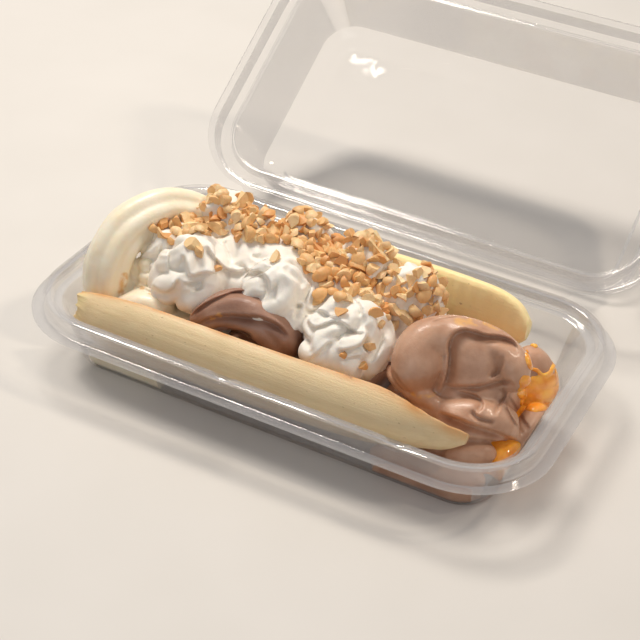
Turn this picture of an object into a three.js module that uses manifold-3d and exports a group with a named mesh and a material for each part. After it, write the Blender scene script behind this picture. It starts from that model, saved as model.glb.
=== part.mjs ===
// A soft serve banana split in a clear hinged takeaway container, lid open.
// Millimetres, +Z up, X along the container, hinge at the back (+Y). The origin is the centre
// of the tray's underside, on the table.
import * as THREE from 'three';
import Module from 'manifold-3d';

const wasm = await Module();
wasm.setup();

// Container
const LENGTH = 220;
const WIDTH = 131;
const CORNER = 34;
const SHEET = 0.8;
const RIM_HEIGHT = 31;
const FLANGE_Z = 24.3;
const LEDGE_Z = 27;
const SEAM = 0.3;
const HINGE_STRIP = 3.4;
const LID_DEPTH = 39;
const LID_OPEN_DEG = 146.5;
const CORNER_STEPS = 6;
const CATCHES = [-12, 59];
const CATCH_DEPTH = 1.8;

// The hinge line, between the two flanges
const HINGE_Y = WIDTH / 2 + HINGE_STRIP;
const HINGE_Z = FLANGE_Z + SEAM / 2;

// Food
const GAP = 0.35;
const FLOOR_Z = SHEET + GAP;
const SCOOP_TOP = 24;
const NUT_COUNT = 100;
const NUT_SPACING = 4.4;
const SEED = 20437;

const CLEAR = { color: 0xe9edee, roughness: 0.08, metalness: 0, transparent: true, opacity: 0.35 };
const VANILLA = { color: 0xf1e4c8, roughness: 0.45, metalness: 0 };
const CHOCOLATE = { color: 0xa07a66, roughness: 0.4, metalness: 0 };
const CREAM = { color: 0xf4efe6, roughness: 0.5, metalness: 0 };
const BANANA = { color: 0xe6d5a4, roughness: 0.6, metalness: 0 };
const CARAMEL = { color: 0xc8791c, roughness: 0.12, metalness: 0 };

let state = SEED;

// A number from 0 to 1, the same sequence every run
function random() {
  state = (Math.imul(state, 1664525) + 1013904223) >>> 0;
  return state / 4294967296;
}

function geometryOf(points, faces) {
  const geometry = new THREE.BufferGeometry();
  geometry.setAttribute('position', new THREE.Float32BufferAttribute(points.flat(), 3));
  geometry.setIndex(faces.flat());
  return geometry;
}

// Joins equal rings of points into a closed body, with a fan over the first and last ring
function skin(rings) {
  const count = rings[0].length;
  const points = rings.flat();
  const faces = [];
  const last = rings.length - 1;
  for (let i = 0; i < last; i += 1) {
    const a = i * count;
    const b = a + count;
    for (let j = 0; j < count; j += 1) {
      const k = (j + 1) % count;
      faces.push([a + j, a + k, b + k], [a + j, b + k, b + j]);
    }
  }
  for (const [ring, start, turned] of [[rings[0], 0, true], [rings.at(-1), last * count, false]]) {
    const centre = [0, 1, 2].map((axis) => ring.reduce((sum, p) => sum + p[axis], 0) / count);
    const tip = points.length;
    points.push(centre);
    for (let j = 0; j < count; j += 1) {
      const a = start + j;
      const b = start + ((j + 1) % count);
      faces.push(turned ? [b, a, tip] : [a, b, tip]);
    }
  }
  return geometryOf(points, faces);
}

function solidOf(geometry) {
  const mesh = new wasm.Mesh({
    numProp: 3,
    vertProperties: new Float32Array(geometry.attributes.position.array),
    triVerts: new Uint32Array(geometry.index.array),
  });
  mesh.merge();
  return new wasm.Manifold(mesh);
}

function meshOf(name, solid, looks) {
  const { vertProperties, triVerts, numProp } = solid.getMesh();
  const points = [];
  for (let i = 0; i < vertProperties.length; i += numProp) {
    points.push([vertProperties[i], vertProperties[i + 1], vertProperties[i + 2]]);
  }
  const geometry = geometryOf(points, [Array.from(triVerts)]);
  const mesh = new THREE.Mesh(geometry, new THREE.MeshStandardMaterial(looks));
  mesh.name = name;
  return mesh;
}

// The largest body of a cut, without loose crumbs
function mainBody(solid) {
  return solid.decompose().reduce((best, piece) => (piece.volume() > best.volume() ? piece : best));
}

// Container

// Points round a rounded rectangle at one inset and height. The back side moves out by back,
// and the front side dips by notch at each catch.
function outline(inset, z, back = 0, notch = 0) {
  const radius = Math.max(CORNER - inset, 4);
  const halfX = LENGTH / 2 - inset;
  const halfY = WIDTH / 2 - inset;
  const corners = [[1, 1, 0], [-1, 1, 90], [-1, -1, 180], [1, -1, 270]];
  const points = [];
  for (const [signX, signY, start] of corners) {
    for (let i = 0; i <= CORNER_STEPS; i += 1) {
      const angle = THREE.MathUtils.degToRad(start + (90 * i) / CORNER_STEPS);
      const x = signX * (halfX - radius) + radius * Math.cos(angle);
      const y = signY * (halfY - radius) + radius * Math.sin(angle);
      points.push([x, y > halfY - 0.01 ? y + back : y, z]);
    }
    if (start === 180) {
      for (const centre of CATCHES) {
        for (const [offset, dip] of [[-4.5, 0], [-2.8, 1], [2.8, 1], [4.5, 0]]) {
          points.push([centre + offset, -halfY, z - notch * dip]);
        }
      }
    }
  }
  return points;
}

// The tray's section, from the middle of the floor out to the flange: inset and height of the
// inner face, then the same places on the outer face
const TRAY_INNER = [
  [24, 0.8],
  [21.2, 0.95],
  [19.9, 2.4],
  [12.9, LEDGE_Z - 0.4],
  [12.2, LEDGE_Z],
  [9.4, LEDGE_Z],
  [8.6, RIM_HEIGHT - 0.4],
  [8.2, RIM_HEIGHT],
  [5.2, RIM_HEIGHT],
  [4.8, RIM_HEIGHT - 0.4],
  [4.1, FLANGE_Z],
  [0, FLANGE_Z],
];
const TRAY_OUTER = [
  [0, FLANGE_Z - SHEET],
  [4.8, FLANGE_Z - SHEET],
  [5.6, RIM_HEIGHT - SHEET],
  [7.8, RIM_HEIGHT - SHEET],
  [8.6, LEDGE_Z - SHEET],
  [12.0, LEDGE_Z - SHEET],
  [19.1, 1.6],
  [20.6, 0],
  [24, 0],
];

// The lid's section in its closed place, with heights above the tray's flange
const LID_INNER = [
  [30, LID_DEPTH],
  [28.2, LID_DEPTH],
  [26.8, LID_DEPTH - 1.2],
  [21.5, LID_DEPTH - 1.6],
  [17.9, LID_DEPTH - 4.5],
  [12.4, 4.2],
  [11.9, 3.2],
  [9.9, 3.2],
  [9.0, 7.3],
  [4.5, 7.3],
  [3.6, SEAM],
  [0, SEAM],
];
const LID_OUTER = [
  [0, SEAM + SHEET],
  [2.9, SEAM + SHEET],
  [3.8, 7.3 + SHEET],
  [9.6, 7.3 + SHEET],
  [10.5, 3.2 + SHEET],
  [11.3, 3.2 + SHEET],
  [11.7, 4.6],
  [17.2, LID_DEPTH - 4.2],
  [21.2, LID_DEPTH - 1.6 + SHEET],
  [26.2, LID_DEPTH - 1.2 + SHEET],
  [27.8, LID_DEPTH + SHEET],
  [30, LID_DEPTH + SHEET],
];

// A formed sheet: both faces in one closed skin, with the flange carried back to the hinge and
// the catches pressed into the rim's top
function formedSheet(section, lift, rimTop = Infinity) {
  const rings = section.map(([inset, height]) => {
    const back = inset === 0 ? HINGE_STRIP - SEAM / 2 : 0;
    return outline(inset, height + lift, back, height > rimTop ? CATCH_DEPTH : 0);
  });
  return solidOf(skin(rings));
}

const traySolid = formedSheet([...TRAY_INNER, ...TRAY_OUTER].reverse(), 0, RIM_HEIGHT - 1);
const lidSolid = formedSheet([...LID_INNER, ...LID_OUTER], FLANGE_Z);

// The space inside the closed container, clear of both sheets: all the food stays within it
const ROOM_SECTION = [
  [22.4, FLOOR_Z],
  [20.4, 2.8],
  [13.4, LEDGE_Z - 0.6],
  [12.9, LEDGE_Z + 1.6],
  [18.4, FLANGE_Z + LID_DEPTH - 5.1],
  [28.8, FLANGE_Z + LID_DEPTH - 2.4],
];
const room = solidOf(skin(ROOM_SECTION.map(([inset, z]) => outline(inset, z))));

// Banana halves

// One half of a peeled banana. Stations along it give the place of the cut face's centre line,
// the half width and the thickness, and side says which way the round back looks: -1 front.
function bananaHalf(stations, side, lean, grow = 0) {
  const curve = new THREE.CatmullRomCurve3(stations.map(([x, y, z]) => new THREE.Vector3(x, y, z)));
  const count = 16;
  const rings = [];
  for (let i = 0; i <= count; i += 1) {
    const t = i / count;
    const centre = curve.getPoint(t);
    const place = t * (stations.length - 1);
    const index = Math.min(stations.length - 2, Math.floor(place));
    const blend = place - index;
    const half = THREE.MathUtils.lerp(stations[index][3], stations[index + 1][3], blend) + grow;
    const thick = THREE.MathUtils.lerp(stations[index][4], stations[index + 1][4], blend) + grow;
    const ring = [];
    for (let j = 0; j <= 9; j += 1) {
      const angle = -Math.PI / 2 + (Math.PI * j) / 9;
      ring.push([thick * Math.cos(angle), half * Math.sin(angle)]);
    }
    ring.push([-0.6 - grow, half * 0.45], [-0.6 - grow, -half * 0.45]);
    const turned = ring.map(([out, up]) => [
      centre.x,
      centre.y + side * (out * Math.cos(lean) + up * Math.sin(lean)),
      centre.z + up * Math.cos(lean) - out * Math.sin(lean),
    ]);
    rings.push(side < 0 ? turned.reverse() : turned);
  }
  return solidOf(skin(rings));
}

const FRONT_BANANA = [
  [-88, -37.8, 20.3, 9.8, 9.2],
  [-78, -38.4, 21.3, 11.6, 11.2],
  [-60, -39.0, 22.4, 13.2, 12.0],
  [-35, -39.4, 22.8, 13.8, 12.2],
  [-8, -39.4, 23.0, 13.9, 12.4],
  [20, -39.3, 23.8, 13.8, 12.2],
  [46, -39.0, 25.4, 12.8, 11.8],
  [64, -38.6, 27.8, 9.4, 10.0],
  [73, -38.2, 28.0, 6.0, 7.6],
  [79, -38.0, 28.0, 2.2, 3.6],
];
const BACK_BANANA = [
  [-66, 36.5, 21, 6, 6],
  [-58, 36.8, 22, 10, 9],
  [-40, 37.2, 23.5, 13, 11.4],
  [-10, 37.6, 25, 13.6, 11.8],
  [20, 37.6, 26, 13.6, 11.8],
  [44, 37.2, 26.6, 13.4, 11.6],
  [60, 36.8, 27, 12, 10.6],
  [68, 36.2, 27, 9, 8.6],
  [73, 35.6, 27, 4.2, 4.6],
];
const BANANA_LEAN = 0.14;

// Soft serve

// A mound with an uneven outline: upright sides with a round shoulder, or a dome
function mound({
  x, y, halfX, halfY, top, bottom = FLOOR_Z, waves = 5, depth = 0.04, shoulder = 0.2, square = 3.2,
  dome = false, grow = 0, sides = 20,
}) {
  const heights = dome ? [0, 0.3, 0.58, 0.8, 0.94, 1] : [0, 0.35, 0.7, 0.92, 1];
  const rings = heights.map((h) => {
    const upright = h < 0.7 ? 0.94 + 0.06 * (h / 0.7) : 1 - shoulder * ((h - 0.7) / 0.3) ** 2;
    const shrink = dome ? Math.sqrt(1 - 0.96 * h * h) : upright;
    const ring = [];
    for (let j = 0; j < sides; j += 1) {
      const angle = (2 * Math.PI * j) / sides;
      const wave = 1 + depth * Math.sin(waves * angle + 1.3 * h);
      const cos = Math.cos(angle);
      const sin = Math.sin(angle);
      const corner = (Math.abs(cos) ** square + Math.abs(sin) ** square) ** (-1 / square);
      const reach = shrink * wave * corner;
      ring.push([
        x + (halfX * reach + grow) * cos,
        y + (halfY * reach + grow) * sin,
        bottom - grow + (top + 2 * grow - bottom) * h,
      ]);
    }
    return ring;
  });
  return solidOf(skin(rings));
}

// A piped rope of soft serve through the given points, each x, y, z and radius, with the
// nozzle's ridges along it and round ends
function rope(stations, { ridges = 7, depth = 0.1, sides = 21, steps = 16, twist = 0.8, grow = 0 } = {}) {
  const curve = new THREE.CatmullRomCurve3(stations.map(([x, y, z]) => new THREE.Vector3(x, y, z)));
  const frames = curve.computeFrenetFrames(steps, false);
  const rings = [];
  for (let i = 0; i <= steps; i += 1) {
    const t = i / steps;
    const place = t * (stations.length - 1);
    const index = Math.min(stations.length - 2, Math.floor(place));
    const radius = THREE.MathUtils.lerp(stations[index][3], stations[index + 1][3], place - index);
    const cap = Math.sqrt(Math.min(1, 0.12 + 5 * Math.min(t, 1 - t)));
    const centre = curve.getPointAt(t);
    const ring = [];
    for (let j = 0; j < sides; j += 1) {
      const angle = (-2 * Math.PI * j) / sides;
      const reach = radius * cap * (1 + depth * Math.cos(ridges * angle + twist * 6 * t)) + grow;
      const side = frames.binormals[i].clone().multiplyScalar(reach * Math.cos(angle));
      const up = frames.normals[i].clone().multiplyScalar(reach * Math.sin(angle));
      ring.push(centre.clone().add(side).add(up).toArray());
    }
    rings.push(ring);
  }
  return solidOf(skin(rings));
}

const HOOP = [
  [-83.5, -27, 14, 8.6],
  [-86.5, -25, 26, 9.0],
  [-87.5, -20, 36, 9.2],
  [-86.0, -12, 43.5, 9.2],
  [-82.0, -3, 47.5, 9.0],
  [-76.0, 7, 48.5, 8.6],
  [-67.0, 15, 45, 8.0],
  [-58.0, 20, 36, 7.0],
];
const INNER_COIL = [
  [-79, -31.5, 15, 5.5],
  [-72, -28.5, 24, 8.0],
  [-63, -26.5, 27, 8.2],
  [-54, -26.5, 23, 6.5],
];
const MIDDLE_ARCH = [
  [-42, -30.5, 22, 4.0],
  [-36, -28.5, 29, 6.2],
  [-27, -26.5, 33.5, 7.8],
  [-16, -25, 34, 8.4],
  [-7, -24.5, 30.5, 8.2],
  [0, -24, 24, 7.6],
];
const FOLD = [
  [55.5, -25.5, 29.5, 8.4],
  [51.0, -24.0, 38.5, 9.8],
  [50.5, -18.5, 45.0, 9.0],
  [57.0, -12.0, 48.2, 7.4],
  [68.0, -9.5, 48.8, 6.8],
  [78.0, -9.5, 46.6, 6.6],
  [84.5, -11.5, 41.0, 6.4],
  [85.0, -13.5, 34.5, 5.6],
];
const LOWER_FOLD = [
  [46, -26, 22, 6.4],
  [56, -28.5, 24, 7.8],
  [68, -28.5, 26, 8.4],
  [80, -25, 28, 8.4],
  [89.5, -17, 27.5, 7.4],
  [92.5, -7, 24, 5.8],
];

const COIL_RIDGES = { ridges: 6, depth: 0.08, sides: 12, steps: 7 };
const MIDDLE_RIDGES = { ridges: 8, depth: 0.09, sides: 24, steps: 12 };
const FOLD_RIDGES = { ridges: 4, depth: 0.05, sides: 12, steps: 16 };
const LOWER_RIDGES = { ridges: 6, depth: 0.09, sides: 18, steps: 11 };

const frontBanana = mainBody(bananaHalf(FRONT_BANANA, -1, BANANA_LEAN).intersect(room));
const backBanana = mainBody(bananaHalf(BACK_BANANA, 1, BANANA_LEAN).intersect(room));
const frontRoom = bananaHalf(FRONT_BANANA, -1, BANANA_LEAN, GAP);
const backRoom = bananaHalf(BACK_BANANA, 1, BANANA_LEAN, GAP);

// Soft serve squeezed against the sloping front wall, under the banana
function toe(fromX, toX, top) {
  return mound({
    x: (fromX + toX) / 2,
    y: -38,
    halfX: (toX - fromX) / 2,
    halfY: 8.6,
    top,
    waves: 7,
    depth: 0.05,
    shoulder: 0.35,
  });
}

function vanillaBody() {
  return mound({ x: -62, y: -2, halfX: 25.5, halfY: 34, top: SCOOP_TOP })
    .add(toe(-82, -46, 11))
    .add(rope(INNER_COIL, COIL_RIDGES))
    .add(rope(HOOP));
}

function middleBody() {
  return mound({ x: 0, y: -1, halfX: 33.5, halfY: 33, top: SCOOP_TOP, depth: 0.03 })
    .add(rope(MIDDLE_ARCH, MIDDLE_RIDGES));
}

function rightBody(grow = 0) {
  return mound({ x: 63.5, y: -3, halfX: 26.5, halfY: 33, top: SCOOP_TOP, depth: 0.03, grow })
    .add(mound({ x: 68, y: -8, halfX: 17, halfY: 16, top: 43, bottom: 20, waves: 3, grow, sides: 14 }))
    .add(mound({
      x: 83, y: 13, halfX: 11, halfY: 11.5, top: 36, bottom: 16, waves: 3, square: 2, dome: true, grow, sides: 14,
    }))
    .add(rope(FOLD, { ...FOLD_RIDGES, grow }))
    .add(rope(LOWER_FOLD, { ...LOWER_RIDGES, grow }));
}

const vanilla = mainBody(vanillaBody().intersect(room).subtract(frontRoom).subtract(backRoom));
const chocolateMiddle = mainBody(middleBody().intersect(room).subtract(frontRoom).subtract(backRoom));
const chocolateRight = mainBody(
  rightBody().add(toe(44, 84, 13)).intersect(room).subtract(frontRoom).subtract(backRoom),
);

// Caramel sauce, run down into the gap between the soft serve and the end wall

const caramel = mainBody(
  mound({ x: 88.2, y: -5, halfX: 6.2, halfY: 26, top: 17.5, bottom: 6, waves: 5, depth: 0.05 })
    .intersect(room)
    .subtract(rightBody(GAP))
    .subtract(frontRoom),
);

// Whipped cream

// A piped rosette: star ridges that twist up in tiers to a soft tip
function rosette({ x, y, z, radius, height, lobes = 5, twist = 1.2, leanX = 0, leanY = 0 }) {
  const levels = 6;
  const rings = [];
  for (let i = 0; i <= levels; i += 1) {
    const t = (i / levels) ** 0.8;
    const tier = 1 + 0.07 * Math.sin(2 * Math.PI * 2 * t);
    const reach = radius * Math.max(0.1, (1 - t ** 2.4) ** 0.62) * tier;
    const star = 0.14 * (1 - 0.4 * t);
    const ring = [];
    for (let j = 0; j < lobes * 3; j += 1) {
      const angle = (2 * Math.PI * j) / (lobes * 3);
      const r = reach * (1 + star * Math.cos(lobes * angle - twist * 3 * t));
      ring.push([
        x + r * Math.cos(angle) + leanX * t * t,
        y + r * Math.sin(angle) + leanY * t * t,
        z + height * t,
      ]);
    }
    rings.push(ring);
  }
  return solidOf(skin(rings));
}

const CREAM_BASE = SCOOP_TOP + GAP;
const ROOM = { depth: 0, sides: 10, steps: 9, grow: 1.4 + GAP };
const ROSETTES = [
  { x: -60, y: -14, z: CREAM_BASE + 2, radius: 16.5, height: 25, twist: 1.4, leanX: 1, leanY: 2 },
  { x: -56, y: 16, z: CREAM_BASE, radius: 16, height: 33.5, twist: 1.0, leanX: 2, leanY: 2 },
  { x: -38, y: 9, z: CREAM_BASE, radius: 15, height: 32, twist: 0.8, leanX: 0, leanY: 2 },
  { x: -18, y: -14, z: CREAM_BASE + 2, radius: 16.5, height: 29, twist: 1.6, leanX: 0, leanY: -1 },
  { x: -20, y: 18, z: CREAM_BASE, radius: 16, height: 33.5, twist: 1.2, leanX: 2, leanY: 0 },
  { x: 16, y: -19.5, z: CREAM_BASE, radius: 18.5, height: 25, twist: 1.5, leanX: 0, leanY: 3 },
  { x: 8, y: 15, z: CREAM_BASE, radius: 17, height: 33, twist: 1.1, leanX: 1, leanY: 1 },
  { x: 30, y: 13, z: CREAM_BASE, radius: 15.5, height: 30, twist: 1.3, leanX: 1, leanY: 1 },
];

// What the cream and the nuts on it leave free round the bananas and the soft serve's ropes
function clearOfNeighbours(solid) {
  let rest = solid.subtract(frontRoom).subtract(backRoom);
  for (const stations of [HOOP, INNER_COIL, MIDDLE_ARCH, FOLD, LOWER_FOLD]) {
    rest = rest.subtract(rope(stations, ROOM));
  }
  return mainBody(rest);
}

let cream = mound({
  x: -15, y: 7, halfX: 55, halfY: 26, top: 53, bottom: CREAM_BASE, waves: 7, square: 2.4, dome: true,
});
for (const place of ROSETTES) {
  cream = cream.add(rosette(place));
}
cream = clearOfNeighbours(cream);

// Chopped peanuts, lying in a long band over the cream's crest and back

const ray = new THREE.Raycaster();

function surfaceHeight(mesh, x, y) {
  ray.set(new THREE.Vector3(x, y, 200), new THREE.Vector3(0, 0, -1));
  const hits = ray.intersectObject(mesh);
  return hits.length > 0 ? hits[0].point.z : null;
}

function nut(x, y, z, size) {
  const axes = [size * (0.8 + 0.5 * random()), size * (0.55 + 0.25 * random()), size * (0.4 + 0.2 * random())];
  const turn = new THREE.Euler(0.9 * (random() - 0.5), 0.9 * (random() - 0.5), 2 * Math.PI * random());
  const corners = [[1, 0, 0], [0, 1, 0], [-1, 0, 0], [0, -1, 0], [0, 0, 1], [0, 0, -1]];
  const points = corners.map((corner) => {
    const wobble = corner.map((value, axis) => axes[axis] * (value + 0.5 * (random() - 0.5)));
    return new THREE.Vector3(...wobble).applyEuler(turn).add(new THREE.Vector3(x, y, z)).toArray();
  });
  const faces = [
    [0, 1, 4], [1, 2, 4], [2, 3, 4], [3, 0, 4],
    [1, 0, 5], [2, 1, 5], [3, 2, 5], [0, 3, 5],
  ];
  return solidOf(geometryOf(points, faces));
}

const surface = meshOf('surface', cream, CREAM);
surface.material.side = THREE.DoubleSide;
let topped = cream;
const laid = [];
while (laid.length < NUT_COUNT) {
  const along = random();
  const across = (random() + random() + random()) / 1.5 - 1;
  const x = -68 + 113 * along + 6 * (random() - 0.5);
  const y = 9 - 3 * along + 17 * across;
  const size = 2.2 + 1.3 * random();
  const height = surfaceHeight(surface, x, y);
  const apart = laid.every(([otherX, otherY]) => Math.hypot(x - otherX, y - otherY) > NUT_SPACING);
  if (height !== null && height > 36 && apart) {
    topped = topped.add(nut(x, y, height + 0.45 * size, size));
    laid.push([x, y]);
  }
}
topped = clearOfNeighbours(topped.intersect(room));

// The whole

const container = new THREE.Group();
container.add(meshOf('tray', traySolid, CLEAR));

const lid = meshOf('lid', lidSolid, CLEAR);
lid.geometry.translate(0, -HINGE_Y, -HINGE_Z);
lid.position.set(0, HINGE_Y, HINGE_Z);
lid.rotation.x = -THREE.MathUtils.degToRad(LID_OPEN_DEG);
container.add(lid);

container.add(meshOf('banana_half_front', frontBanana, BANANA));
container.add(meshOf('banana_half_back', backBanana, BANANA));
container.add(meshOf('soft_serve_vanilla', vanilla, VANILLA));
container.add(meshOf('soft_serve_chocolate_middle', chocolateMiddle, CHOCOLATE));
container.add(meshOf('soft_serve_chocolate_right', chocolateRight, CHOCOLATE));
container.add(meshOf('caramel_sauce', caramel, CARAMEL));
container.add(meshOf('whipped_cream_with_peanuts', topped, CREAM));

export default container;
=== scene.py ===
# %% [markdown]
# # A soft serve banana split in a clear takeaway box
# The dessert is vanilla and chocolate soft serve, two banana halves, piped whipped cream, chopped
# peanuts and caramel, in a thin clear box whose hinged lid stands open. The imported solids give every
# place and size. This lesson gives each of them its real surface: the sheet's rolled edges, the
# piped ridges, the melted folds and the scattered nuts.

# %% Load the solids
import math
import random

import bmesh
import bpy
import numpy as np
from mathutils import Matrix, Vector
from mathutils.bvhtree import BVHTree


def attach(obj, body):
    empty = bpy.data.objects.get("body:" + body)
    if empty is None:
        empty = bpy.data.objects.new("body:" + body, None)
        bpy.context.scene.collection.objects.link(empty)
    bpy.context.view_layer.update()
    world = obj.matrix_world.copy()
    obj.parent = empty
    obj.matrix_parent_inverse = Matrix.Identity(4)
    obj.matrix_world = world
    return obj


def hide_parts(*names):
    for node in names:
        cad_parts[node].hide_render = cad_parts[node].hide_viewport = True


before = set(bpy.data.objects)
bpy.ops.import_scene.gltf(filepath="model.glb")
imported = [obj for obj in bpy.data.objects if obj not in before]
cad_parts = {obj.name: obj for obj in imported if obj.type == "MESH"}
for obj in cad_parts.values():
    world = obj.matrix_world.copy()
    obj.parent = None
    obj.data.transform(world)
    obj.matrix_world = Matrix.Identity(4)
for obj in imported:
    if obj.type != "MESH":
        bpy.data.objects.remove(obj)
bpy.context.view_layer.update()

# %% [markdown]
# ## The camera
# The photograph looks down on the long side from the front right, with the camera tipped a little.
# Three angles turn the camera, and a long lens keeps the box's edges nearly parallel.

# %% Camera


def linked(name, data):
    """An object of the scene that shows the data."""
    made = bpy.data.objects.new(name, data)
    bpy.context.scene.collection.objects.link(made)
    return made


CAMERA_PLACE = Vector((0.2150, -0.45275, 0.38122))
CAMERA_AZIMUTH = math.radians(25.54)
CAMERA_DOWN = math.radians(35.34)
CAMERA_ROLL = math.radians(3.97)
LENS = 87.17
SENSOR = 36
IMAGE = 640

camera_data = bpy.data.cameras.new("camera")
camera_data.lens = LENS
camera_data.sensor_width = SENSOR
camera = linked("camera", camera_data)
turn = (
    Matrix.Rotation(CAMERA_AZIMUTH, 4, "Z")
    @ Matrix.Rotation(math.pi / 2 - CAMERA_DOWN, 4, "X")
    @ Matrix.Rotation(CAMERA_ROLL, 4, "Z")
)
camera.matrix_world = Matrix.Translation(CAMERA_PLACE) @ turn
bpy.context.scene.camera = camera
print("camera looks along", tuple(round(v, 3) for v in turn.col[2][:3]))

# %% [markdown]
# ## Floor and light
# A pale floor and a pale sky keep the food's colours honest. A lamp above and behind gives the long
# highlights on the plastic, a smaller warm one gives the sparkle on the sauce, and a wide weak one
# in front opens the shadows.

# %% Floor and lamps
floor_data = bpy.data.meshes.new("floor")
FLOOR_HALF = 4
corners = [(x * FLOOR_HALF, y * FLOOR_HALF, 0) for x, y in ((-1, -1), (1, -1), (1, 1), (-1, 1))]
floor_data.from_pydata(corners, [], [(0, 1, 2, 3)])
floor = linked("floor", floor_data)


def lamp(name, place, target, size, power, colour):
    data = bpy.data.lights.new(name, "AREA")
    data.shape = "RECTANGLE"
    data.size, data.size_y = size
    data.energy = power
    data.color = colour
    aim = (Vector(place) - Vector(target)).to_track_quat("Z", "Y")
    linked(name, data).matrix_world = Matrix.Translation(place) @ aim.to_matrix().to_4x4()


lamp("key", (-0.42, 0.30, 0.90), (0, 0.03, 0.02), (0.34, 0.26), 8.8, (1.0, 0.93, 0.84))
lamp("sparkle", (0.50, 0.30, 0.75), (0.03, 0, 0.03), (0.08, 0.08), 2.2, (1.0, 0.87, 0.72))
lamp("fill", (0.25, -0.9, 0.55), (0, 0, 0.03), (0.8, 0.5), 1.1, (0.97, 0.98, 1.0))

world = bpy.data.worlds.new("studio")
bpy.context.scene.world = world
world.use_nodes = True
sky = world.node_tree.nodes["Background"]
sky.inputs["Color"].default_value = (0.95, 0.96, 1.0, 1)
sky.inputs["Strength"].default_value = 0.33
bpy.context.scene.view_settings.view_transform = "Standard"
print("lamps", [light.name for light in bpy.data.lights])

# %% [markdown]
# ## A small language for finishes
# Materials are node trees, and sums of masks are easier to read as sums. A wrapped socket can be
# added, subtracted and multiplied in Python, and each sign adds one Math node. Every other node
# comes from one function, which the Geometry Nodes further down use too.

# %% Sockets in sums


def add_node(tree, kind, settings=None, output=0, **sockets):
    """Adds a node, sets or links its inputs by name or by _number, and gives one output."""
    node = tree.nodes.new(kind)
    for name, value in (settings or {}).items():
        setattr(node, name, value)
    for name, value in sockets.items():
        slot = node.inputs[int(name[1:]) if name[1:].isdigit() else name.replace("_", " ")]
        if isinstance(value, Level):
            tree.links.new(value.socket, slot)
        else:
            slot.default_value = value
    return Level(tree, node.outputs[output])


class Level:
    """A socket that carries a value, for use in sums."""

    def __init__(self, tree, socket):
        self.tree = tree
        self.socket = socket

    def maths(self, operation, first, second, clamp=False):
        settings = {"operation": operation, "use_clamp": clamp}
        return add_node(self.tree, "ShaderNodeMath", settings, _0=first, _1=second)

    def __add__(self, other):
        return self.maths("ADD", self, other)

    __radd__ = __add__

    def __sub__(self, other):
        return self.maths("SUBTRACT", self, other)

    def __rsub__(self, other):
        return self.maths("SUBTRACT", other, self)

    def __mul__(self, other):
        return self.maths("MULTIPLY", self, other)

    __rmul__ = __mul__

    def between(self, low, high):
        """0 at low, 1 at high, and never outside."""
        return self.maths("MULTIPLY", self - low, 1 / (high - low), clamp=True)


# %% [markdown]
# A finish is one material: a Principled shader with the nodes that change it over the surface. The
# nodes read the place on the object, so a pattern stays with the piece. A colour is written as a
# screen shows it, which is easy to compare with the photograph.

# %% Finishes
MM = 0.001


class Finish:
    """A material with one Principled shader and the nodes that feed it."""

    def __init__(self, name, **constants):
        self.material = bpy.data.materials.new(name)
        self.material.use_nodes = True
        self.tree = self.material.node_tree
        self.shader = self.tree.nodes["Principled BSDF"]
        for socket, value in constants.items():
            self.shader.inputs[socket.replace("_", " ")].default_value = value

    def node(self, kind, settings=None, output=0, **sockets):
        return add_node(self.tree, kind, settings, output, **sockets)

    def place(self, stretch):
        """The spot on the object in millimetres, stretched along its axes."""
        spot = self.node("ShaderNodeTexCoord", output=3)
        return self.node("ShaderNodeMapping", Vector=spot, Scale=tuple(s / MM for s in stretch))

    def noise(self, scale, detail, roughness=0.5, stretch=(1, 1, 1)):
        """Noise with so many waves to a millimetre."""
        place = self.place(stretch)
        return self.node("ShaderNodeTexNoise", Vector=place, Scale=scale, Detail=detail, Roughness=roughness)

    def mask(self, name):
        """A value from 0 to 1 that the mesh carries."""
        return self.node("ShaderNodeAttribute", {"attribute_name": name}, output=2)

    def mix(self, factor, first, second):
        return self.node("ShaderNodeMix", {"data_type": "RGBA"}, output=2, _0=factor, _6=first, _7=second)

    def feed(self, socket, level):
        self.tree.links.new(level.socket, self.shader.inputs[socket])

    def bump(self, height, depth):
        normal = self.node("ShaderNodeBump", Height=height, Distance=depth * MM, Strength=1.0)
        self.feed("Normal", normal)

    def report(self):
        print(self.material.name, "has", len(self.tree.nodes), "nodes")


def rgb(red, green, blue):
    """A colour as a screen shows it, 0 to 255, in the linear values that a shader needs."""
    shares = [value / 255 for value in (red, green, blue)]
    return tuple(s / 12.92 if s <= 0.04045 else ((s + 0.055) / 1.055) ** 2.4 for s in shares) + (1.0,)


floor_finish = Finish("pale_floor", Roughness=0.6)
floor_spot = floor_finish.noise(0.02, 2)
floor_finish.feed("Base Color", floor_finish.mix(floor_spot, rgb(209, 205, 199), rgb(216, 212, 207)))
floor_data.materials.append(floor_finish.material)
floor_finish.report()

# %% [markdown]
# ## Skins
# Every piece is worked out in millimetres with plain arrays and becomes a mesh in metres. Most are
# skins: rings of points along a path or round a section, joined by faces and closed at both ends.
# Curves with a bevel could do it too, but rings let the section change along the way.

# %% Meshes and skins


def mesh_object(name, points, faces, finish, smooth_angle=180):
    data = bpy.data.meshes.new(name)
    data.from_pydata((np.asarray(points, float) * MM).tolist(), [], [tuple(face) for face in faces])
    data.shade_smooth()
    if smooth_angle < 180:
        data.set_sharp_from_angle(angle=math.radians(smooth_angle))
    data.materials.append(finish.material)
    return linked(name, data)


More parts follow.
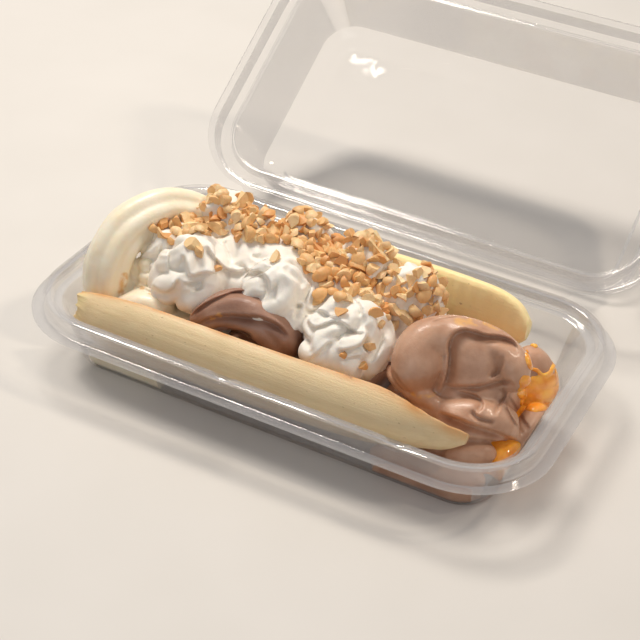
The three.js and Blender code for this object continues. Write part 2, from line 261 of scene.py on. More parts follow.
def skin(rings):
    """Joins equal rings of points into a closed body with a fan over each end."""
    rings = [np.asarray(ring, float) for ring in rings]
    count = len(rings[0])
    faces = []
    for i in range(len(rings) - 1):
        for j in range(count):
            a, b = i * count + j, i * count + (j + 1) % count
            faces.append((a, b, b + count, a + count))
    first, start = len(rings) * count, (len(rings) - 1) * count
    for j in range(count):
        k = (j + 1) % count
        faces.append((k, j, first))
        faces.append((start + j, start + k, first + 1))
    points = np.vstack(rings + [rings[0].mean(0), rings[-1].mean(0)])
    return points, faces


def triangles(piece):
    return sum(len(polygon.vertices) - 2 for polygon in piece.data.polygons)


# %% [markdown]
# ## The clear box
# Tray and lid are formed from one clear sheet: a flange all round, a raised bead that the lid snaps
# over, and a ledge inside it. Each is lofted through rounded rectangles from one section line whose
# corners are rolled, because light gathers along those rolled edges and draws the box.

# %% Box sizes
LENGTH = 220
WIDTH = 131
CORNER = 34
SHEET = 0.8
RIM_HEIGHT = 31
FLANGE_Z = 24.3
LEDGE_Z = 27
SEAM = 0.3
HINGE_STRIP = 3.4
LID_DEPTH = 39
LID_OPEN = math.radians(146.5)
CATCHES = (-12, 59)
CATCH_HALF = 4.6
CATCH_SLOPE = 1.8
CATCH_DEPTH = 1.8
TIGHTEST_CORNER = 4
HINGE_Y = WIDTH / 2 + HINGE_STRIP
HINGE_Z = FLANGE_Z + SEAM / 2

TRAY_INNER = [
    (24, 0.8), (21.2, 0.95), (19.9, 2.4), (12.9, LEDGE_Z - 0.4), (12.2, LEDGE_Z), (9.4, LEDGE_Z),
    (8.6, RIM_HEIGHT - 0.4), (8.2, RIM_HEIGHT), (5.2, RIM_HEIGHT), (4.8, RIM_HEIGHT - 0.4),
    (4.1, FLANGE_Z), (0, FLANGE_Z),
]
TRAY_OUTER = [
    (0, FLANGE_Z - SHEET), (4.8, FLANGE_Z - SHEET), (5.6, RIM_HEIGHT - SHEET),
    (7.8, RIM_HEIGHT - SHEET), (8.6, LEDGE_Z - SHEET), (12.0, LEDGE_Z - SHEET), (19.1, 1.6),
    (20.6, 0), (24, 0),
]
LID_INNER = [
    (30, LID_DEPTH), (28.2, LID_DEPTH), (26.8, LID_DEPTH - 1.2), (21.5, LID_DEPTH - 1.6),
    (17.9, LID_DEPTH - 4.5), (12.4, 4.2), (11.9, 3.2), (9.9, 3.2), (9.0, 7.3), (4.5, 7.3),
    (3.6, SEAM), (0, SEAM),
]
LID_OUTER = [
    (0, SEAM + SHEET), (2.9, SEAM + SHEET), (3.8, 7.3 + SHEET), (9.6, 7.3 + SHEET),
    (10.5, 3.2 + SHEET), (11.3, 3.2 + SHEET), (11.7, 4.6), (17.2, LID_DEPTH - 4.2),
    (21.2, LID_DEPTH - 1.6 + SHEET), (26.2, LID_DEPTH - 1.2 + SHEET), (27.8, LID_DEPTH + SHEET),
    (30, LID_DEPTH + SHEET),
]
print("box", LENGTH, "by", WIDTH, "mm, closed", FLANGE_Z + LID_DEPTH + SHEET, "mm high")

# %% Box sections


def outline(inset, z, back, notch, steps=16):
    """Points round a rounded rectangle, with the back moved out and the front dipped at the catches."""
    radius = max(CORNER - inset, TIGHTEST_CORNER)
    half_x, half_y = LENGTH / 2 - inset, WIDTH / 2 - inset
    points = []
    for sign_x, sign_y, start in ((1, 1, 0), (-1, 1, 90), (-1, -1, 180), (1, -1, 270)):
        for i in range(steps + 1):
            angle = math.radians(start + 90 * i / steps)
            x = sign_x * (half_x - radius) + radius * math.cos(angle)
            y = sign_y * (half_y - radius) + radius * math.sin(angle)
            points.append((x, y + back if y > half_y - 0.01 else y, z))
        if start == 180:
            for centre in CATCHES:
                for offset in (-CATCH_HALF, -3.6, -2.8, 0, 2.8, 3.6, CATCH_HALF):
                    dip = min(1, max(0, (CATCH_HALF - abs(offset)) / CATCH_SLOPE))
                    points.append((centre + offset, -half_y, z - notch * dip))
    return points


def rolled(section, radius=0.55, steps=4):
    """The section line with each corner rounded by a short arc."""
    line = [section[0]]
    for before, corner, after in zip(section, section[1:], section[2:]):
        before, corner, after = (np.array(point, float) for point in (before, corner, after))
        back, on = before - corner, after - corner
        reach = min(radius, 0.45 * np.linalg.norm(back), 0.45 * np.linalg.norm(on))
        start = corner + back / np.linalg.norm(back) * reach
        end = corner + on / np.linalg.norm(on) * reach
        for i in range(steps + 1):
            t = i / steps
            line.append(tuple((1 - t) ** 2 * start + 2 * t * (1 - t) * corner + t * t * end))
    line.append(section[-1])
    return line


def formed_sheet(section, lift, rim_top):
    """Rings round the box for each point of the section, with the hinge strip and the catches."""
    rings = []
    for inset, height in section:
        back = HINGE_STRIP - SEAM / 2 if inset == 0 else 0
        notch = CATCH_DEPTH * min(1, max(0, (height - rim_top) / 0.5))
        rings.append(outline(inset, height + lift, back, notch))
    return skin(rings)


# %% [markdown]
# Clear plastic shows the room in its surface and lets the rest through. A Fresnel share mixes a
# shiny shader over a see-through one: little where the sheet is faced, much where it turns away.
# The see-through part is a touch grey, so that the folded rim, where the light crosses the sheet
# four times, reads darker than the flat panel, as in the photograph.

# %% Clear sheet finish
clear = Finish("clear_sheet", Base_Color=rgb(246, 245, 245), Metallic=0.7, Roughness=0.04, IOR=1.55)
clear.bump(clear.noise(0.05, 2), 0.4)
fresnel = clear.node("ShaderNodeFresnel", IOR=1.5)
shine = clear.node("ShaderNodeMath", {"operation": "MULTIPLY_ADD"}, _0=fresnel, _1=0.55, _2=0.006)
see_through = clear.node("ShaderNodeBsdfTransparent", Color=(0.982, 0.98, 0.98, 1))
plastic = Level(clear.tree, clear.shader.outputs[0])
blend = clear.node("ShaderNodeMixShader", _0=shine, _1=see_through, _2=plastic)
clear.tree.links.new(blend.socket, clear.tree.nodes["Material Output"].inputs["Surface"])
clear.report()

# %% [markdown]
# The tray stands on its floor, and the lid leans back open at its living hinge. A single surface
# with a Solidify modifier could be each of them, but two section lines give the ledge and the bead
# their own rolled faces inside and out. The lid is made closed and then turned about the hinge.

# %% Tray and lid
tray_section = rolled(TRAY_INNER) + rolled(TRAY_OUTER)
tray_points, tray_faces = formed_sheet(tray_section[::-1], 0, RIM_HEIGHT - 1)
tray = mesh_object("tray_sheet", tray_points, tray_faces, clear, smooth_angle=50)
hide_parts("tray")
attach(tray, "tray")

lid_points, lid_faces = formed_sheet(rolled(LID_INNER) + rolled(LID_OUTER), FLANGE_Z, math.inf)
open_turn = np.array(Matrix.Rotation(-LID_OPEN, 3, "X"))
hinge = np.array([0, HINGE_Y, HINGE_Z])
lid_points = (lid_points - hinge) @ open_turn.T + hinge
lid = mesh_object("lid_sheet", lid_points, lid_faces, clear, smooth_angle=50)
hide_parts("lid")
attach(lid, "lid")
print("box triangles", triangles(tray), triangles(lid))

# %% [markdown]
# ## Where the food may be
# The food lies within the tray and under the closed lid. Soft food is pressed flat against the
# clear wall, so any point that would go through it is brought back to the sheet's inner face.

# %% Keep inside the box
WALL_HEIGHTS = [0.8, 2.6, LEDGE_Z - 0.6, LEDGE_Z + 1.6, FLANGE_Z + LID_DEPTH - 5.1, 64]
WALL_INSETS = [21.4, 19.9, 12.9, 12.7, 18.2, 28.6]
FLOOR_Z = 0.85
CEILING_Z = FLANGE_Z + LID_DEPTH - 2.4
PRESS = 0.12
print("food may rise to", round(CEILING_Z, 1), "mm")


def read_rows(piece, field):
    flat = np.empty(len(piece.data.vertices) * 3)
    piece.data.vertices.foreach_get(field, flat)
    return flat.reshape(-1, 3)


def read_points(piece):
    return read_rows(piece, "co") / MM


def write_points(piece, points):
    piece.data.vertices.foreach_set("co", (points * MM).ravel())
    piece.data.update()


def kept_inside(points, press=PRESS):
    """Brings points back inside the box. Press is how far they may reach into the sheet."""
    points = points.copy()
    points[:, 2] = np.clip(points[:, 2], FLOOR_Z - press, CEILING_Z)
    inset = np.interp(points[:, 2], WALL_HEIGHTS, WALL_INSETS) - press
    radius = np.maximum(CORNER - inset, TIGHTEST_CORNER)
    core = np.column_stack([LENGTH / 2 - inset - radius, WIDTH / 2 - inset - radius])
    flat = points[:, :2]
    beyond = flat - np.clip(flat, -core, core)
    reach = np.linalg.norm(beyond, axis=1)
    share = np.minimum(1, radius / np.maximum(reach, 1e-6))
    points[:, :2] = np.clip(flat, -core, core) + beyond * share[:, None]
    return points


# %% [markdown]
# ## Bananas
# Each half keeps the round outside of the peeled fruit and shows its flat cut to the ice cream. The
# body is lofted through half-round sections, with five soft flats along it as a real banana has.

# %% Banana sizes
FRONT_BANANA = dict(side=-1, bulge=0.6, tip_turn=0.6, rough=1.0, stations=[
    (-88, -37.8, 20.3, 9.8, 9.2), (-78, -38.4, 21.3, 11.6, 11.2), (-60, -39.0, 22.4, 13.2, 12.0),
    (-35, -39.4, 22.8, 13.8, 12.2), (-8, -39.4, 23.0, 13.9, 12.4), (20, -39.3, 23.8, 13.8, 12.2),
    (46, -39.0, 25.4, 12.8, 11.8), (64, -38.6, 27.8, 9.4, 10.0), (73, -38.2, 28.0, 6.0, 7.6),
    (79, -38.0, 28.0, 2.2, 3.6),
])
BACK_BANANA = dict(side=1, bulge=2.6, tip_turn=0.0, rough=0.2, stations=[
    (-66, 36.5, 21, 6, 6), (-58, 36.8, 22, 10, 9), (-40, 37.2, 23.5, 13, 11.4),
    (-10, 37.6, 25, 13.6, 11.8), (20, 37.6, 26, 13.6, 11.8), (44, 37.2, 26.6, 13.4, 11.6),
    (60, 36.8, 27, 12, 10.6), (68, 36.2, 27, 9, 8.6), (73, 35.6, 27, 4.2, 4.6),
])
BANANA_LEAN = 0.14
TIP_STARTS = 42
TIP_LENGTH = 34
BANANA_RINGS = 170
ROUND_POINTS = 56
CUT_POINTS = 15
FLAT_DEPTH = 0.022
BANANA_SEED = 5
TORN_RINGS = 7
WORN_RINGS = 15
for banana in (FRONT_BANANA, BACK_BANANA):
    print("banana half", banana["stations"][-1][0] - banana["stations"][0][0], "mm long")

# %% [markdown]
# A few sections along the fruit are enough, because a smooth line carries all their sizes from one
# to the next. The same section then tells, for any point, how far out and how high on the banana it
# lies, which the browned rim and the soft serve need later.

# %% Banana shapes


def smooth_path(stations, count):
    """A smooth line through the stations, in equal steps. Every column is carried along."""
    stations = np.asarray(stations, float)
    steps = np.linalg.norm(np.diff(stations[:, :3], axis=0), axis=1) ** 0.5
    knots = np.concatenate([[0], np.cumsum(steps)])
    slopes = np.gradient(stations, knots, axis=0)
    places = np.linspace(0, knots[-1], count * 8)
    index = np.clip(np.searchsorted(knots, places, side="right") - 1, 0, len(knots) - 2)
    width = (knots[index + 1] - knots[index])[:, None]
    t = ((places - knots[index])[:, None]) / width
    line = (
        (2 * t**3 - 3 * t**2 + 1) * stations[index]
        + (t**3 - 2 * t**2 + t) * width * slopes[index]
        + (3 * t**2 - 2 * t**3) * stations[index + 1]
        + (t**3 - t**2) * width * slopes[index + 1]
    )
    reach = np.concatenate([[0], np.cumsum(np.linalg.norm(np.diff(line[:, :3], axis=0), axis=1))])
    even = np.linspace(0, reach[-1], count)
    return np.column_stack([np.interp(even, reach, column) for column in line.T])


def lean_at(banana, x):
    """Cosine and sine of the cut's lean. Near its tip the front half was cut askew."""
    t = np.clip((np.asarray(x, float) - TIP_STARTS) / TIP_LENGTH, 0, 1)
    lean = BANANA_LEAN + banana["tip_turn"] * t * t * (3 - 2 * t)
    return np.cos(lean), np.sin(lean)


def banana_half(banana):
    """Rings along one half, with the cut face towards the ice cream."""
    path = smooth_path(banana["stations"], BANANA_RINGS)
    side = banana["side"]
    round_side = np.linspace(-math.pi / 2, math.pi / 2, ROUND_POINTS)
    cut_side = np.linspace(0.97, -0.97, CUT_POINTS)
    around = np.linspace(0, 2 * math.pi, ROUND_POINTS + CUT_POINTS, endpoint=False)
    waves = ((1, 3, 1), (0.8, 7, 2), (0.6, 13, 0), (0.5, 22, 0))
    torn = sum(size * np.sin(count * around + start) for size, count, start in waves)
    fibres = np.random.default_rng(BANANA_SEED).normal(0, 0.05, CUT_POINTS)
    flats = 1 - FLAT_DEPTH * np.abs(np.cos(2.5 * (round_side + math.pi / 2)))
    rings = []
    for i, (x, y, z, half, thick) in enumerate(path):
        lean_cos, lean_sin = lean_at(banana, x)
        ragged = banana["rough"] * max(0, 1 - i / TORN_RINGS)
        worn = banana["rough"] * max(0, 1 - i / WORN_RINGS) ** 2
        out = thick * np.cos(round_side) * flats * (1 - 0.35 * worn)
        up = half * np.sin(round_side) * flats * np.where(round_side < 0, 1 - 0.6 * worn, 1)
        cut_up = half * cut_side * np.where(cut_side < 0, 1 - 0.6 * worn, 1)
        bulge = banana["bulge"] * np.sqrt(1 - (cut_side * 0.98) ** 2)
        cut_out = fibres + 0.12 * math.sin(0.9 * i) - bulge
        out = np.concatenate([out, cut_out]) * (1 + 0.02 * ragged * torn)
        up = np.concatenate([up, cut_up]) * (1 + 0.02 * ragged * np.roll(torn, 9))
        ring = np.column_stack([
            x - 0.45 * ragged * torn,
            y + side * (out * lean_cos + up * lean_sin),
            z + up * lean_cos - out * lean_sin,
        ])
        rings.append(ring[::-1] if side < 0 else ring)
    return skin(rings)


def across_banana(banana, points):
    """Each point's place in the section beside it: outwards and up, and the section's sizes."""
    rows = np.array(banana["stations"], float)
    centre_y, centre_z, half, thick = (np.interp(points[:, 0], rows[:, 0], row) for row in rows.T[1:])
    lean_cos, lean_sin = lean_at(banana, points[:, 0])
    aside = banana["side"] * (points[:, 1] - centre_y)
    rise = points[:, 2] - centre_z
    return aside * lean_cos - rise * lean_sin, aside * lean_sin + rise * lean_cos, half, thick


# %% [markdown]
# The flesh is pale beige and shows fine fibres along the fruit, small brown flecks and, at the
# cut's rim, a tan line where the air has browned it. Stretched noise draws the fibres. The rim's
# line is a mask from an attribute that marks how near a point is to the cut's edge. It widens to
# the right, where the front half shows more of its cut.

# %% Banana finish


def banana_finish(name, flesh, shade, cut):
    finish = Finish(name, Subsurface_Weight=0.12, Subsurface_Scale=0.004)
    spot = finish.place((1, 1, 1))
    along = finish.node("ShaderNodeSeparateXYZ", Vector=spot)
    height = finish.node("ShaderNodeSeparateXYZ", Vector=spot, output=2)
    fibre = finish.noise(1.1, 4, 0.6, stretch=(0.05, 1, 1))
    strand = finish.noise(0.42, 2, stretch=(0.02, 1, 1))
    pores = finish.noise(2.6, 3, stretch=(0.35, 1, 1))
    fleck = finish.noise(0.75, 2, stretch=(0.6, 1, 1)).between(0.70, 0.76)
    cloud = finish.noise(0.06, 3)
    torn_end = along.between(-81, -87)
    # Painted shade: lower on the fruit the flesh turns a darker tan, for the shade on its underside.
    low = height.between(27, 12) * (0.4 + 0.6 * cloud.between(0.3, 0.6))
    colour = finish.mix(fibre.between(0.3, 0.75) * 0.25 + strand.between(0.4, 0.7) * 0.25, flesh, shade)
    colour = finish.mix(cloud.between(0.45, 0.75) * 0.35, colour, shade)
    colour = finish.mix(torn_end * 0.6, colour, rgb(246, 222, 160))
    colour = finish.mix(low * 0.5, colour, rgb(196, 150, 92))
    colour = finish.mix(finish.mask("cut_rim"), colour, cut)
    colour = finish.mix(fleck * 0.5, colour, rgb(124, 86, 50))
    bruise = finish.mask("bruise") * fibre.between(0.35, 0.55)
    finish.feed("Base Color", finish.mix(bruise, colour, rgb(104, 66, 34)))
    finish.feed("Roughness", 0.4 + 0.25 * cloud)
    finish.bump(fibre * 0.35 + pores * 0.5 + strand * 0.7, 0.24)
    return finish


front_flesh = banana_finish("banana_front_flesh", rgb(231, 208, 165), rgb(206, 175, 126), rgb(208, 150, 86))
# The back half's flesh is a lighter copy of the front half's: painted light on a cut face in shade.
back_flesh_painted_light = banana_finish("banana_back_flesh", rgb(255, 236, 182), rgb(254, 224, 158), rgb(255, 230, 168))
front_flesh.report()
back_flesh_painted_light.report()

# %% [markdown]
# The rim could be painted on by hand. The section is known at every place, so each point's distance
# from the cut's edge can be stored on the mesh instead, and the finish reads it.

# %% Browned rim
RIM_WIDTH = 1.1
RIM_GROWTH = 1.7
GROWTH_STARTS = 5
GROWTH_LENGTH = 40


def store(mesh, name, values, kind="FLOAT", field="value"):
    """Keeps a value for each point of the mesh under a name that a finish can read."""
    mesh.attributes.new(name, kind, "POINT").data.foreach_set(field, values)


def mark_cut_rim(piece, banana):
    """Stores how near each point is to the edge of the cut, from 0 to 1."""
    points = read_points(piece)
    out, up, half, _ = across_banana(banana, points)
    width = RIM_WIDTH + RIM_GROWTH * np.clip((points[:, 0] - GROWTH_STARTS) / GROWTH_LENGTH, 0, 1)
    nearness = np.exp(-((out - 0.3) / width) ** 2) * np.clip(np.abs(up) / half - 0.4, 0, 0.4) / 0.4
    cut_face = 0.8 * (out < 0.2)
    wander = 0.7 + 0.3 * np.sin(points[:, 0] * 0.35) * np.sin(points[:, 0] * 0.11 + 1)
    store(piece.data, "cut_rim", np.clip(np.maximum(nearness, cut_face) * wander, 0, 1))


# %% [markdown]
# ## From the picture to the surface
# Bruises, stains, painted shade, folds and sauce are easiest to place where the photograph shows them.
# A few helpers turn a point of the object into its place in the picture, so a line measured there can
# mark the surface under it, or be pressed into it as real relief, which holds from every side.

# %% From the picture to the surface
PIXELS_PER_SLOPE = LENS / SENSOR * IMAGE
camera_turn = np.array(turn.to_3x3())
camera_spot = np.array(CAMERA_PLACE) / MM
FULLY_FACING = 0.25
LINE_STEPS = 50


def seen_at(points):
    """Where points of the object are in the picture, in pixels from its top left corner."""
    local = (points - camera_spot) @ camera_turn
    return np.column_stack([
        IMAGE / 2 - PIXELS_PER_SLOPE * local[:, 0] / local[:, 2],
        IMAGE / 2 + PIXELS_PER_SLOPE * local[:, 1] / local[:, 2],
    ])


def facing_camera(piece, points):
    """From 0, turned away, to 1, for each point, with the way to the camera."""
    towards = camera_spot - points
    towards /= np.linalg.norm(towards, axis=1)[:, None]
    facing = (read_rows(piece, "normal") * towards).sum(axis=1) / FULLY_FACING
    return np.clip(facing, 0, 1), towards


def line_reach(seen, line):
    """Distance from a line in the picture, minus on its left, and the share of the line passed."""
    path = smooth_path([(u, v, 0) for u, v in line], LINE_STEPS)[:, :2]
    start, step = path[:-1], np.diff(path, axis=0)
    off = seen[:, None, :] - start[None]
    share = np.clip((off * step).sum(axis=2) / (step**2).sum(axis=1), 0, 1)
    away = off - share[:, :, None] * step
    reach = np.linalg.norm(away, axis=2)
    nearest = reach.argmin(axis=1)
    rows = np.arange(len(seen))
    turned = step[nearest, 0] * off[rows, nearest, 1] - step[nearest, 1] * off[rows, nearest, 0]
    along = (nearest + share[rows, nearest]) / len(step)
    return np.where(turned > 0, 1, -1) * reach[rows, nearest], along


def mark_spots(piece, name, spots):
    """Stores a mask on the surface: 1 in the middle of each spot of the picture, 0 outside."""
    points = read_points(piece)
    seen = seen_at(points)
    facing, _ = facing_camera(piece, points)
    mask = np.zeros(len(points))
    for radius, *line in spots:
        away, _ = line_reach(seen, line)
        mask = np.maximum(mask, np.clip(1.4 * (1 - (away / radius) ** 2), 0, 1))
    store(piece.data, name, mask * facing)


# %% [markdown]
# The two halves differ in their sizes, their lean and how worn their ends are, so one function
# makes both. The few brown bruises are spots of a mask that the finish reads.

# %% Bananas
# Spots in the picture: the radius in pixels and the points of the line.
BRUISES = [
    (1.6, (342, 371), (347, 374), (352, 377)),
    (1.2, (303, 355), (308, 357)),
    (1.3, (95, 289), (99, 291)),
    (1.2, (165, 309), (170, 311)),
    (1.0, (142, 301), (144, 302)),
    (1.1, (390, 392), (394, 394)),
]
for name, banana, finish in (
    ("banana_half_front", FRONT_BANANA, front_flesh),
    ("banana_half_back", BACK_BANANA, back_flesh_painted_light),
):
    fruit = mesh_object(name + "_fruit", *banana_half(banana), finish, smooth_angle=60)
    mark_cut_rim(fruit, banana)
    write_points(fruit, kept_inside(read_points(fruit), press=-0.1))
    mark_spots(fruit, "bruise", BRUISES)
    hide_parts(name)
    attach(fruit, "tray")
    print(name, triangles(fruit), "triangles")

# %% [markdown]
# ## Soft serve
# A soft serve nozzle gives a rope with rounded ridges, which folds over itself as it lands and then
# softens. Ropes and mounds are swept or lofted first, and then run together by the voxel remesh.

# %% Ropes and mounds
SCOOP_TOP = 24
MOUND_FLOOR = FLOOR_Z - 0.2
MOUND_SIDES = 72
MOUND_RINGS = 24
SHOULDER_STARTS = 0.7


def frames_along(path):
    """Two directions square to the path at each point, without needless turning."""
    forward = np.gradient(path[:, :3], axis=0)
    forward /= np.linalg.norm(forward, axis=1)[:, None]
    across = np.cross(forward[0], (0, 0, 1.0))
    if np.linalg.norm(across) < 0.2:
        across = np.cross(forward[0], (0, 1.0, 0))
    sides = []
    for direction in forward:
        across = across - direction * np.dot(across, direction)
        across /= np.linalg.norm(across)
        sides.append(across)
    sides = np.array(sides)
    return sides, np.cross(sides, forward)


def rope(stations, ridges, depth, sides, steps, twist=0.8, ripple=0.0, phase=0.0, crease=0.8):
    """A piped rope with the nozzle's ridges along it and round ends. A low crease is a sharp one."""
    path = smooth_path(stations, steps)
    across, up = frames_along(path)
    t = np.linspace(0, 1, steps)[:, None]
    angle = np.linspace(0, 2 * math.pi, sides, endpoint=False)[None, :]
    cap = np.sqrt(np.minimum(1, 0.1 + 7 * np.minimum(t, 1 - t)))
    crest = np.abs(np.cos(ridges * angle / 2 + twist * 3 * t + phase)) ** crease * 2 - 1
    reach = path[:, 3:4] * cap * (1 + depth * crest + ripple * np.sin(46 * t + 3 * np.sin(angle)))
    points = (
        path[:, None, :3]
        + across[:, None, :] * (reach * np.cos(angle))[:, :, None]
        + up[:, None, :] * (reach * np.sin(angle))[:, :, None]
    )
    return skin(list(points[:, ::-1]))


def mound(x, y, half_x, half_y, top, bottom, waves=5, depth=0.04, shoulder=0.2, square=3.2, dome=False):
    """A mound with an uneven outline: upright sides with a round shoulder, or a dome."""
    angle = np.linspace(0, 2 * math.pi, MOUND_SIDES, endpoint=False)
    cos, sin = np.cos(angle), np.sin(angle)
    corner = (np.abs(cos) ** square + np.abs(sin) ** square) ** (-1 / square)
    rings = []
    for h in np.linspace(0, 1, MOUND_RINGS):
        shrink = 0.94 + 0.06 * h / SHOULDER_STARTS
        if dome:
            shrink = math.sqrt(1 - 0.96 * h * h)
        elif h >= SHOULDER_STARTS:
            shrink = 1 - shoulder * ((h - SHOULDER_STARTS) / 0.3) ** 2
        reach = shrink * corner * (1 + depth * np.sin(waves * angle + 1.3 * h))
        height = np.full(MOUND_SIDES, bottom + (top - bottom) * h)
        rings.append(np.column_stack([x + half_x * reach * cos, y + half_y * reach * sin, height]))
    return skin(rings)


def toe(from_x, to_x, top):
    """Soft serve squeezed against the sloping front wall, under the banana."""
    middle, half = (from_x + to_x) / 2, (to_x - from_x) / 2
    return mound(middle, -39, half, 10, top, MOUND_FLOOR, waves=7, depth=0.05, shoulder=0.35)


def smear(stations):
    """A small tongue of ice cream, with hardly any ridges left."""
    return rope(stations, ridges=3, depth=0.05, sides=36, steps=60)


def lump(x, y, z, radius):
    """A soft rounded bit of melted ice cream."""
    rises = ((-0.9, 0.45), (-0.5, 0.85), (0, 1.0), (0.5, 0.85), (0.9, 0.45))
    stations = [(x + 0.2 * rise * radius, y, z + rise * radius, share * radius) for rise, share in rises]
    return rope(stations, ridges=3, depth=0.05, sides=24, steps=24)


# %% [markdown]
# Where soft serve or cream touches itself it runs together. A Boolean union would leave sharp
# creases there. A voxel remesh wraps all the parts in one skin, and a little smoothing melts the
# creases. The result is made a plain mesh, so later steps can move its points.

# %% Run together
ICE_VOXEL = 0.65
CREAM_VOXEL = 0.6
FILM_VOXEL = 0.4


def made_plain(piece):
    """Turns what the modifiers give into a plain mesh, and removes them."""
    old = piece.data
    seen = piece.evaluated_get(bpy.context.evaluated_depsgraph_get())
    piece.data = bpy.data.meshes.new_from_object(seen)
    piece.modifiers.clear()
    bpy.data.meshes.remove(old)
    piece.data.name = piece.name


def merged(name, parts, finish, voxel, smoothing):
    """Runs overlapping closed parts together into one skin."""
    points, faces = [], []
    for part_points, part_faces in parts:
        start = len(points)
        points.extend(part_points.tolist())
        faces.extend([tuple(start + corner for corner in face) for face in part_faces])
    piece = mesh_object(name, points, faces, finish)
    remesh = piece.modifiers.new("run together", "REMESH")
    remesh.mode = "VOXEL"
    remesh.voxel_size = voxel * MM
    melt = piece.modifiers.new("soften", "SMOOTH")
    melt.factor = 0.5
    melt.iterations = smoothing
    made_plain(piece)
    piece.data.shade_smooth()
    return piece


# %% [markdown]
# Soft serve and cream show folds where one layer lies over the next. Brush strokes in sculpt mode
# could draw them. Here each fold is a line measured in the picture: the surface rises on its left
# and drops on its right, and what the camera can't see stays as it is.

# %% Pressed folds
CLEAR_OF_SKIN = 0.7
LEAST_SHIFT = 0.02
FOLD_REACH = 2.5
FOLD_EDGE = 2.0
FOLD_TAPER = 6


def surface_of(piece):
    return BVHTree.FromObject(piece, bpy.context.evaluated_depsgraph_get())


def drop_hidden(piece, points, towards, values, least):
    """Sets each value above the least to 0 where the piece itself hides its point from the camera."""
    surface = surface_of(piece)
    for i in np.flatnonzero(np.abs(values) > least):
        start = Vector((points[i] + towards[i] * CLEAR_OF_SKIN) * MM)
        if surface.ray_cast(start, Vector(towards[i]))[0] is not None:
            values[i] = 0


def soften(piece):
    """Evens out a mesh a little, as melting does."""
    shape = bmesh.new()
    shape.from_mesh(piece.data)
    axes = {"use_axis_x": True, "use_axis_y": True, "use_axis_z": True}
    bmesh.ops.smooth_vert(shape, verts=shape.verts, factor=0.5, **axes)
    shape.to_mesh(piece.data)
    shape.free()
    piece.data.shade_smooth()


def press_folds(piece, folds):
    """Presses folds in: each line has a raised edge on its left and a drop on its right.

    A fold is the rise and drop in millimetres, their widths in pixels, and the line's points.
    """
    points = read_points(piece)
    seen = seen_at(points)
    facing, towards = facing_camera(piece, points)
    shift = np.zeros(len(points))
    for rise, drop, rise_width, drop_width, *line in folds:
        margin = FOLD_REACH * max(rise_width, drop_width)
        inside = (seen > np.min(line, axis=0) - margin) & (seen < np.max(line, axis=0) + margin)
        near = np.flatnonzero((facing > 0) & inside.all(axis=1))
        if not len(near):
            continue
        away, along = line_reach(seen[near], line)
        right = np.clip(0.5 + away / FOLD_EDGE, 0, 1)
        right = right * right * (3 - 2 * right)
        taper = np.clip(FOLD_TAPER * np.minimum(along, 1 - along), 0, 1)
        height = rise * np.exp(-(away / rise_width) ** 2) * (1 - right)
        height -= drop * np.exp(-(np.maximum(away, 0) / drop_width) ** 2) * right
        shift[near] += taper * height
    drop_hidden(piece, points, towards, shift, LEAST_SHIFT)
    write_points(piece, points + towards * (shift * facing)[:, None])
    soften(piece)


# %% [markdown]
# The soft serve lies against the bananas without going into them. Cutting them away would leave a
# hollow with sharp edges, so each point inside a banana is moved out instead: on to the cut face,
# or out through the round side.

# %% Fit round the bananas
BANANA_GAP = 0.1


def clear_of_banana(points, banana):
    """Moves points out of one banana half: on to its cut face, or out through its round side."""
    points = points.copy()
    out, up, half, thick = across_banana(banana, points)
    first, last = banana["stations"][0][0], banana["stations"][-1][0]
    cut = -(banana["bulge"] * np.sqrt(np.clip(1 - (0.95 * up / half) ** 2, 0, 1)) + BANANA_GAP)
    share = np.hypot(out / (thick + BANANA_GAP), up / (half + BANANA_GAP))
    inside = (share < 1) & (out > cut) & (points[:, 0] > first) & (points[:, 0] < last)
    to_round = (1 / np.maximum(share, 0.05) - 1) * np.hypot(out, up)
    round_way = inside & (to_round < out - cut) & (out > 0)
    cut_way = inside & ~round_way
    moved_out = np.where(cut_way, cut, np.where(round_way, out / share, out)) - out
    moved_up = np.where(round_way, up / share, up) - up
    lean_cos, lean_sin = lean_at(banana, points[:, 0])
    points[:, 1] += banana["side"] * (moved_out * lean_cos + moved_up * lean_sin)
    points[:, 2] += moved_up * lean_cos - moved_out * lean_sin
    return points


def settle(piece, press=PRESS):
    """Fits a soft piece between the bananas and the box."""
    points = clear_of_banana(read_points(piece), FRONT_BANANA)
    write_points(piece, kept_inside(clear_of_banana(points, BACK_BANANA), press))


# %% [markdown]
# Soft serve is matt where it is cold and glossy where it has begun to melt. Broad noise varies the
# roughness, fine noise gives the small pits left by air, and the colour deepens a little in clouds.

# %% Soft serve finish


def soft_serve_finish(name, light, deep, roughness):
    finish = Finish(name, Subsurface_Weight=0.25, Subsurface_Scale=0.003,
                    Subsurface_Radius=(1.0, 0.6, 0.4), Coat_Roughness=0.12)
    cloud = finish.noise(0.11, 3)
    pits = finish.noise(1.4, 3, 0.6)
    # A mask turns spots caramel tan: sauce stains on the chocolate, painted shade on the vanilla.
    sauce_and_painted_shade = finish.mask("stain") * finish.noise(0.35, 3).between(0.38, 0.56)
    colour = finish.mix(cloud.between(0.35, 0.7), light, deep)
    finish.feed("Base Color", finish.mix(sauce_and_painted_shade * 0.8, colour, rgb(222, 170, 98)))
    finish.feed("Roughness", roughness + 0.22 * (cloud.between(0.3, 0.7) - 0.5))
    finish.feed("Coat Weight", 0.22 * (1 - cloud.between(0.4, 0.62)))
    finish.bump(pits * 0.5 + cloud * 2.0, 0.22)
    return finish


vanilla_cream = soft_serve_finish("vanilla_soft_serve", rgb(250, 240, 218), rgb(244, 229, 198), 0.42)
chocolate_cream = soft_serve_finish("chocolate_soft_serve", rgb(205, 163, 135), rgb(176, 131, 103), 0.42)
# The middle scoop's chocolate is a darker copy: painted shade, for the scoop behind the banana.
shaded_chocolate = soft_serve_finish("cold_chocolate_soft_serve", rgb(172, 133, 112), rgb(144, 104, 84), 0.42)
for finish in (vanilla_cream, chocolate_cream, shaded_chocolate):
    finish.report()

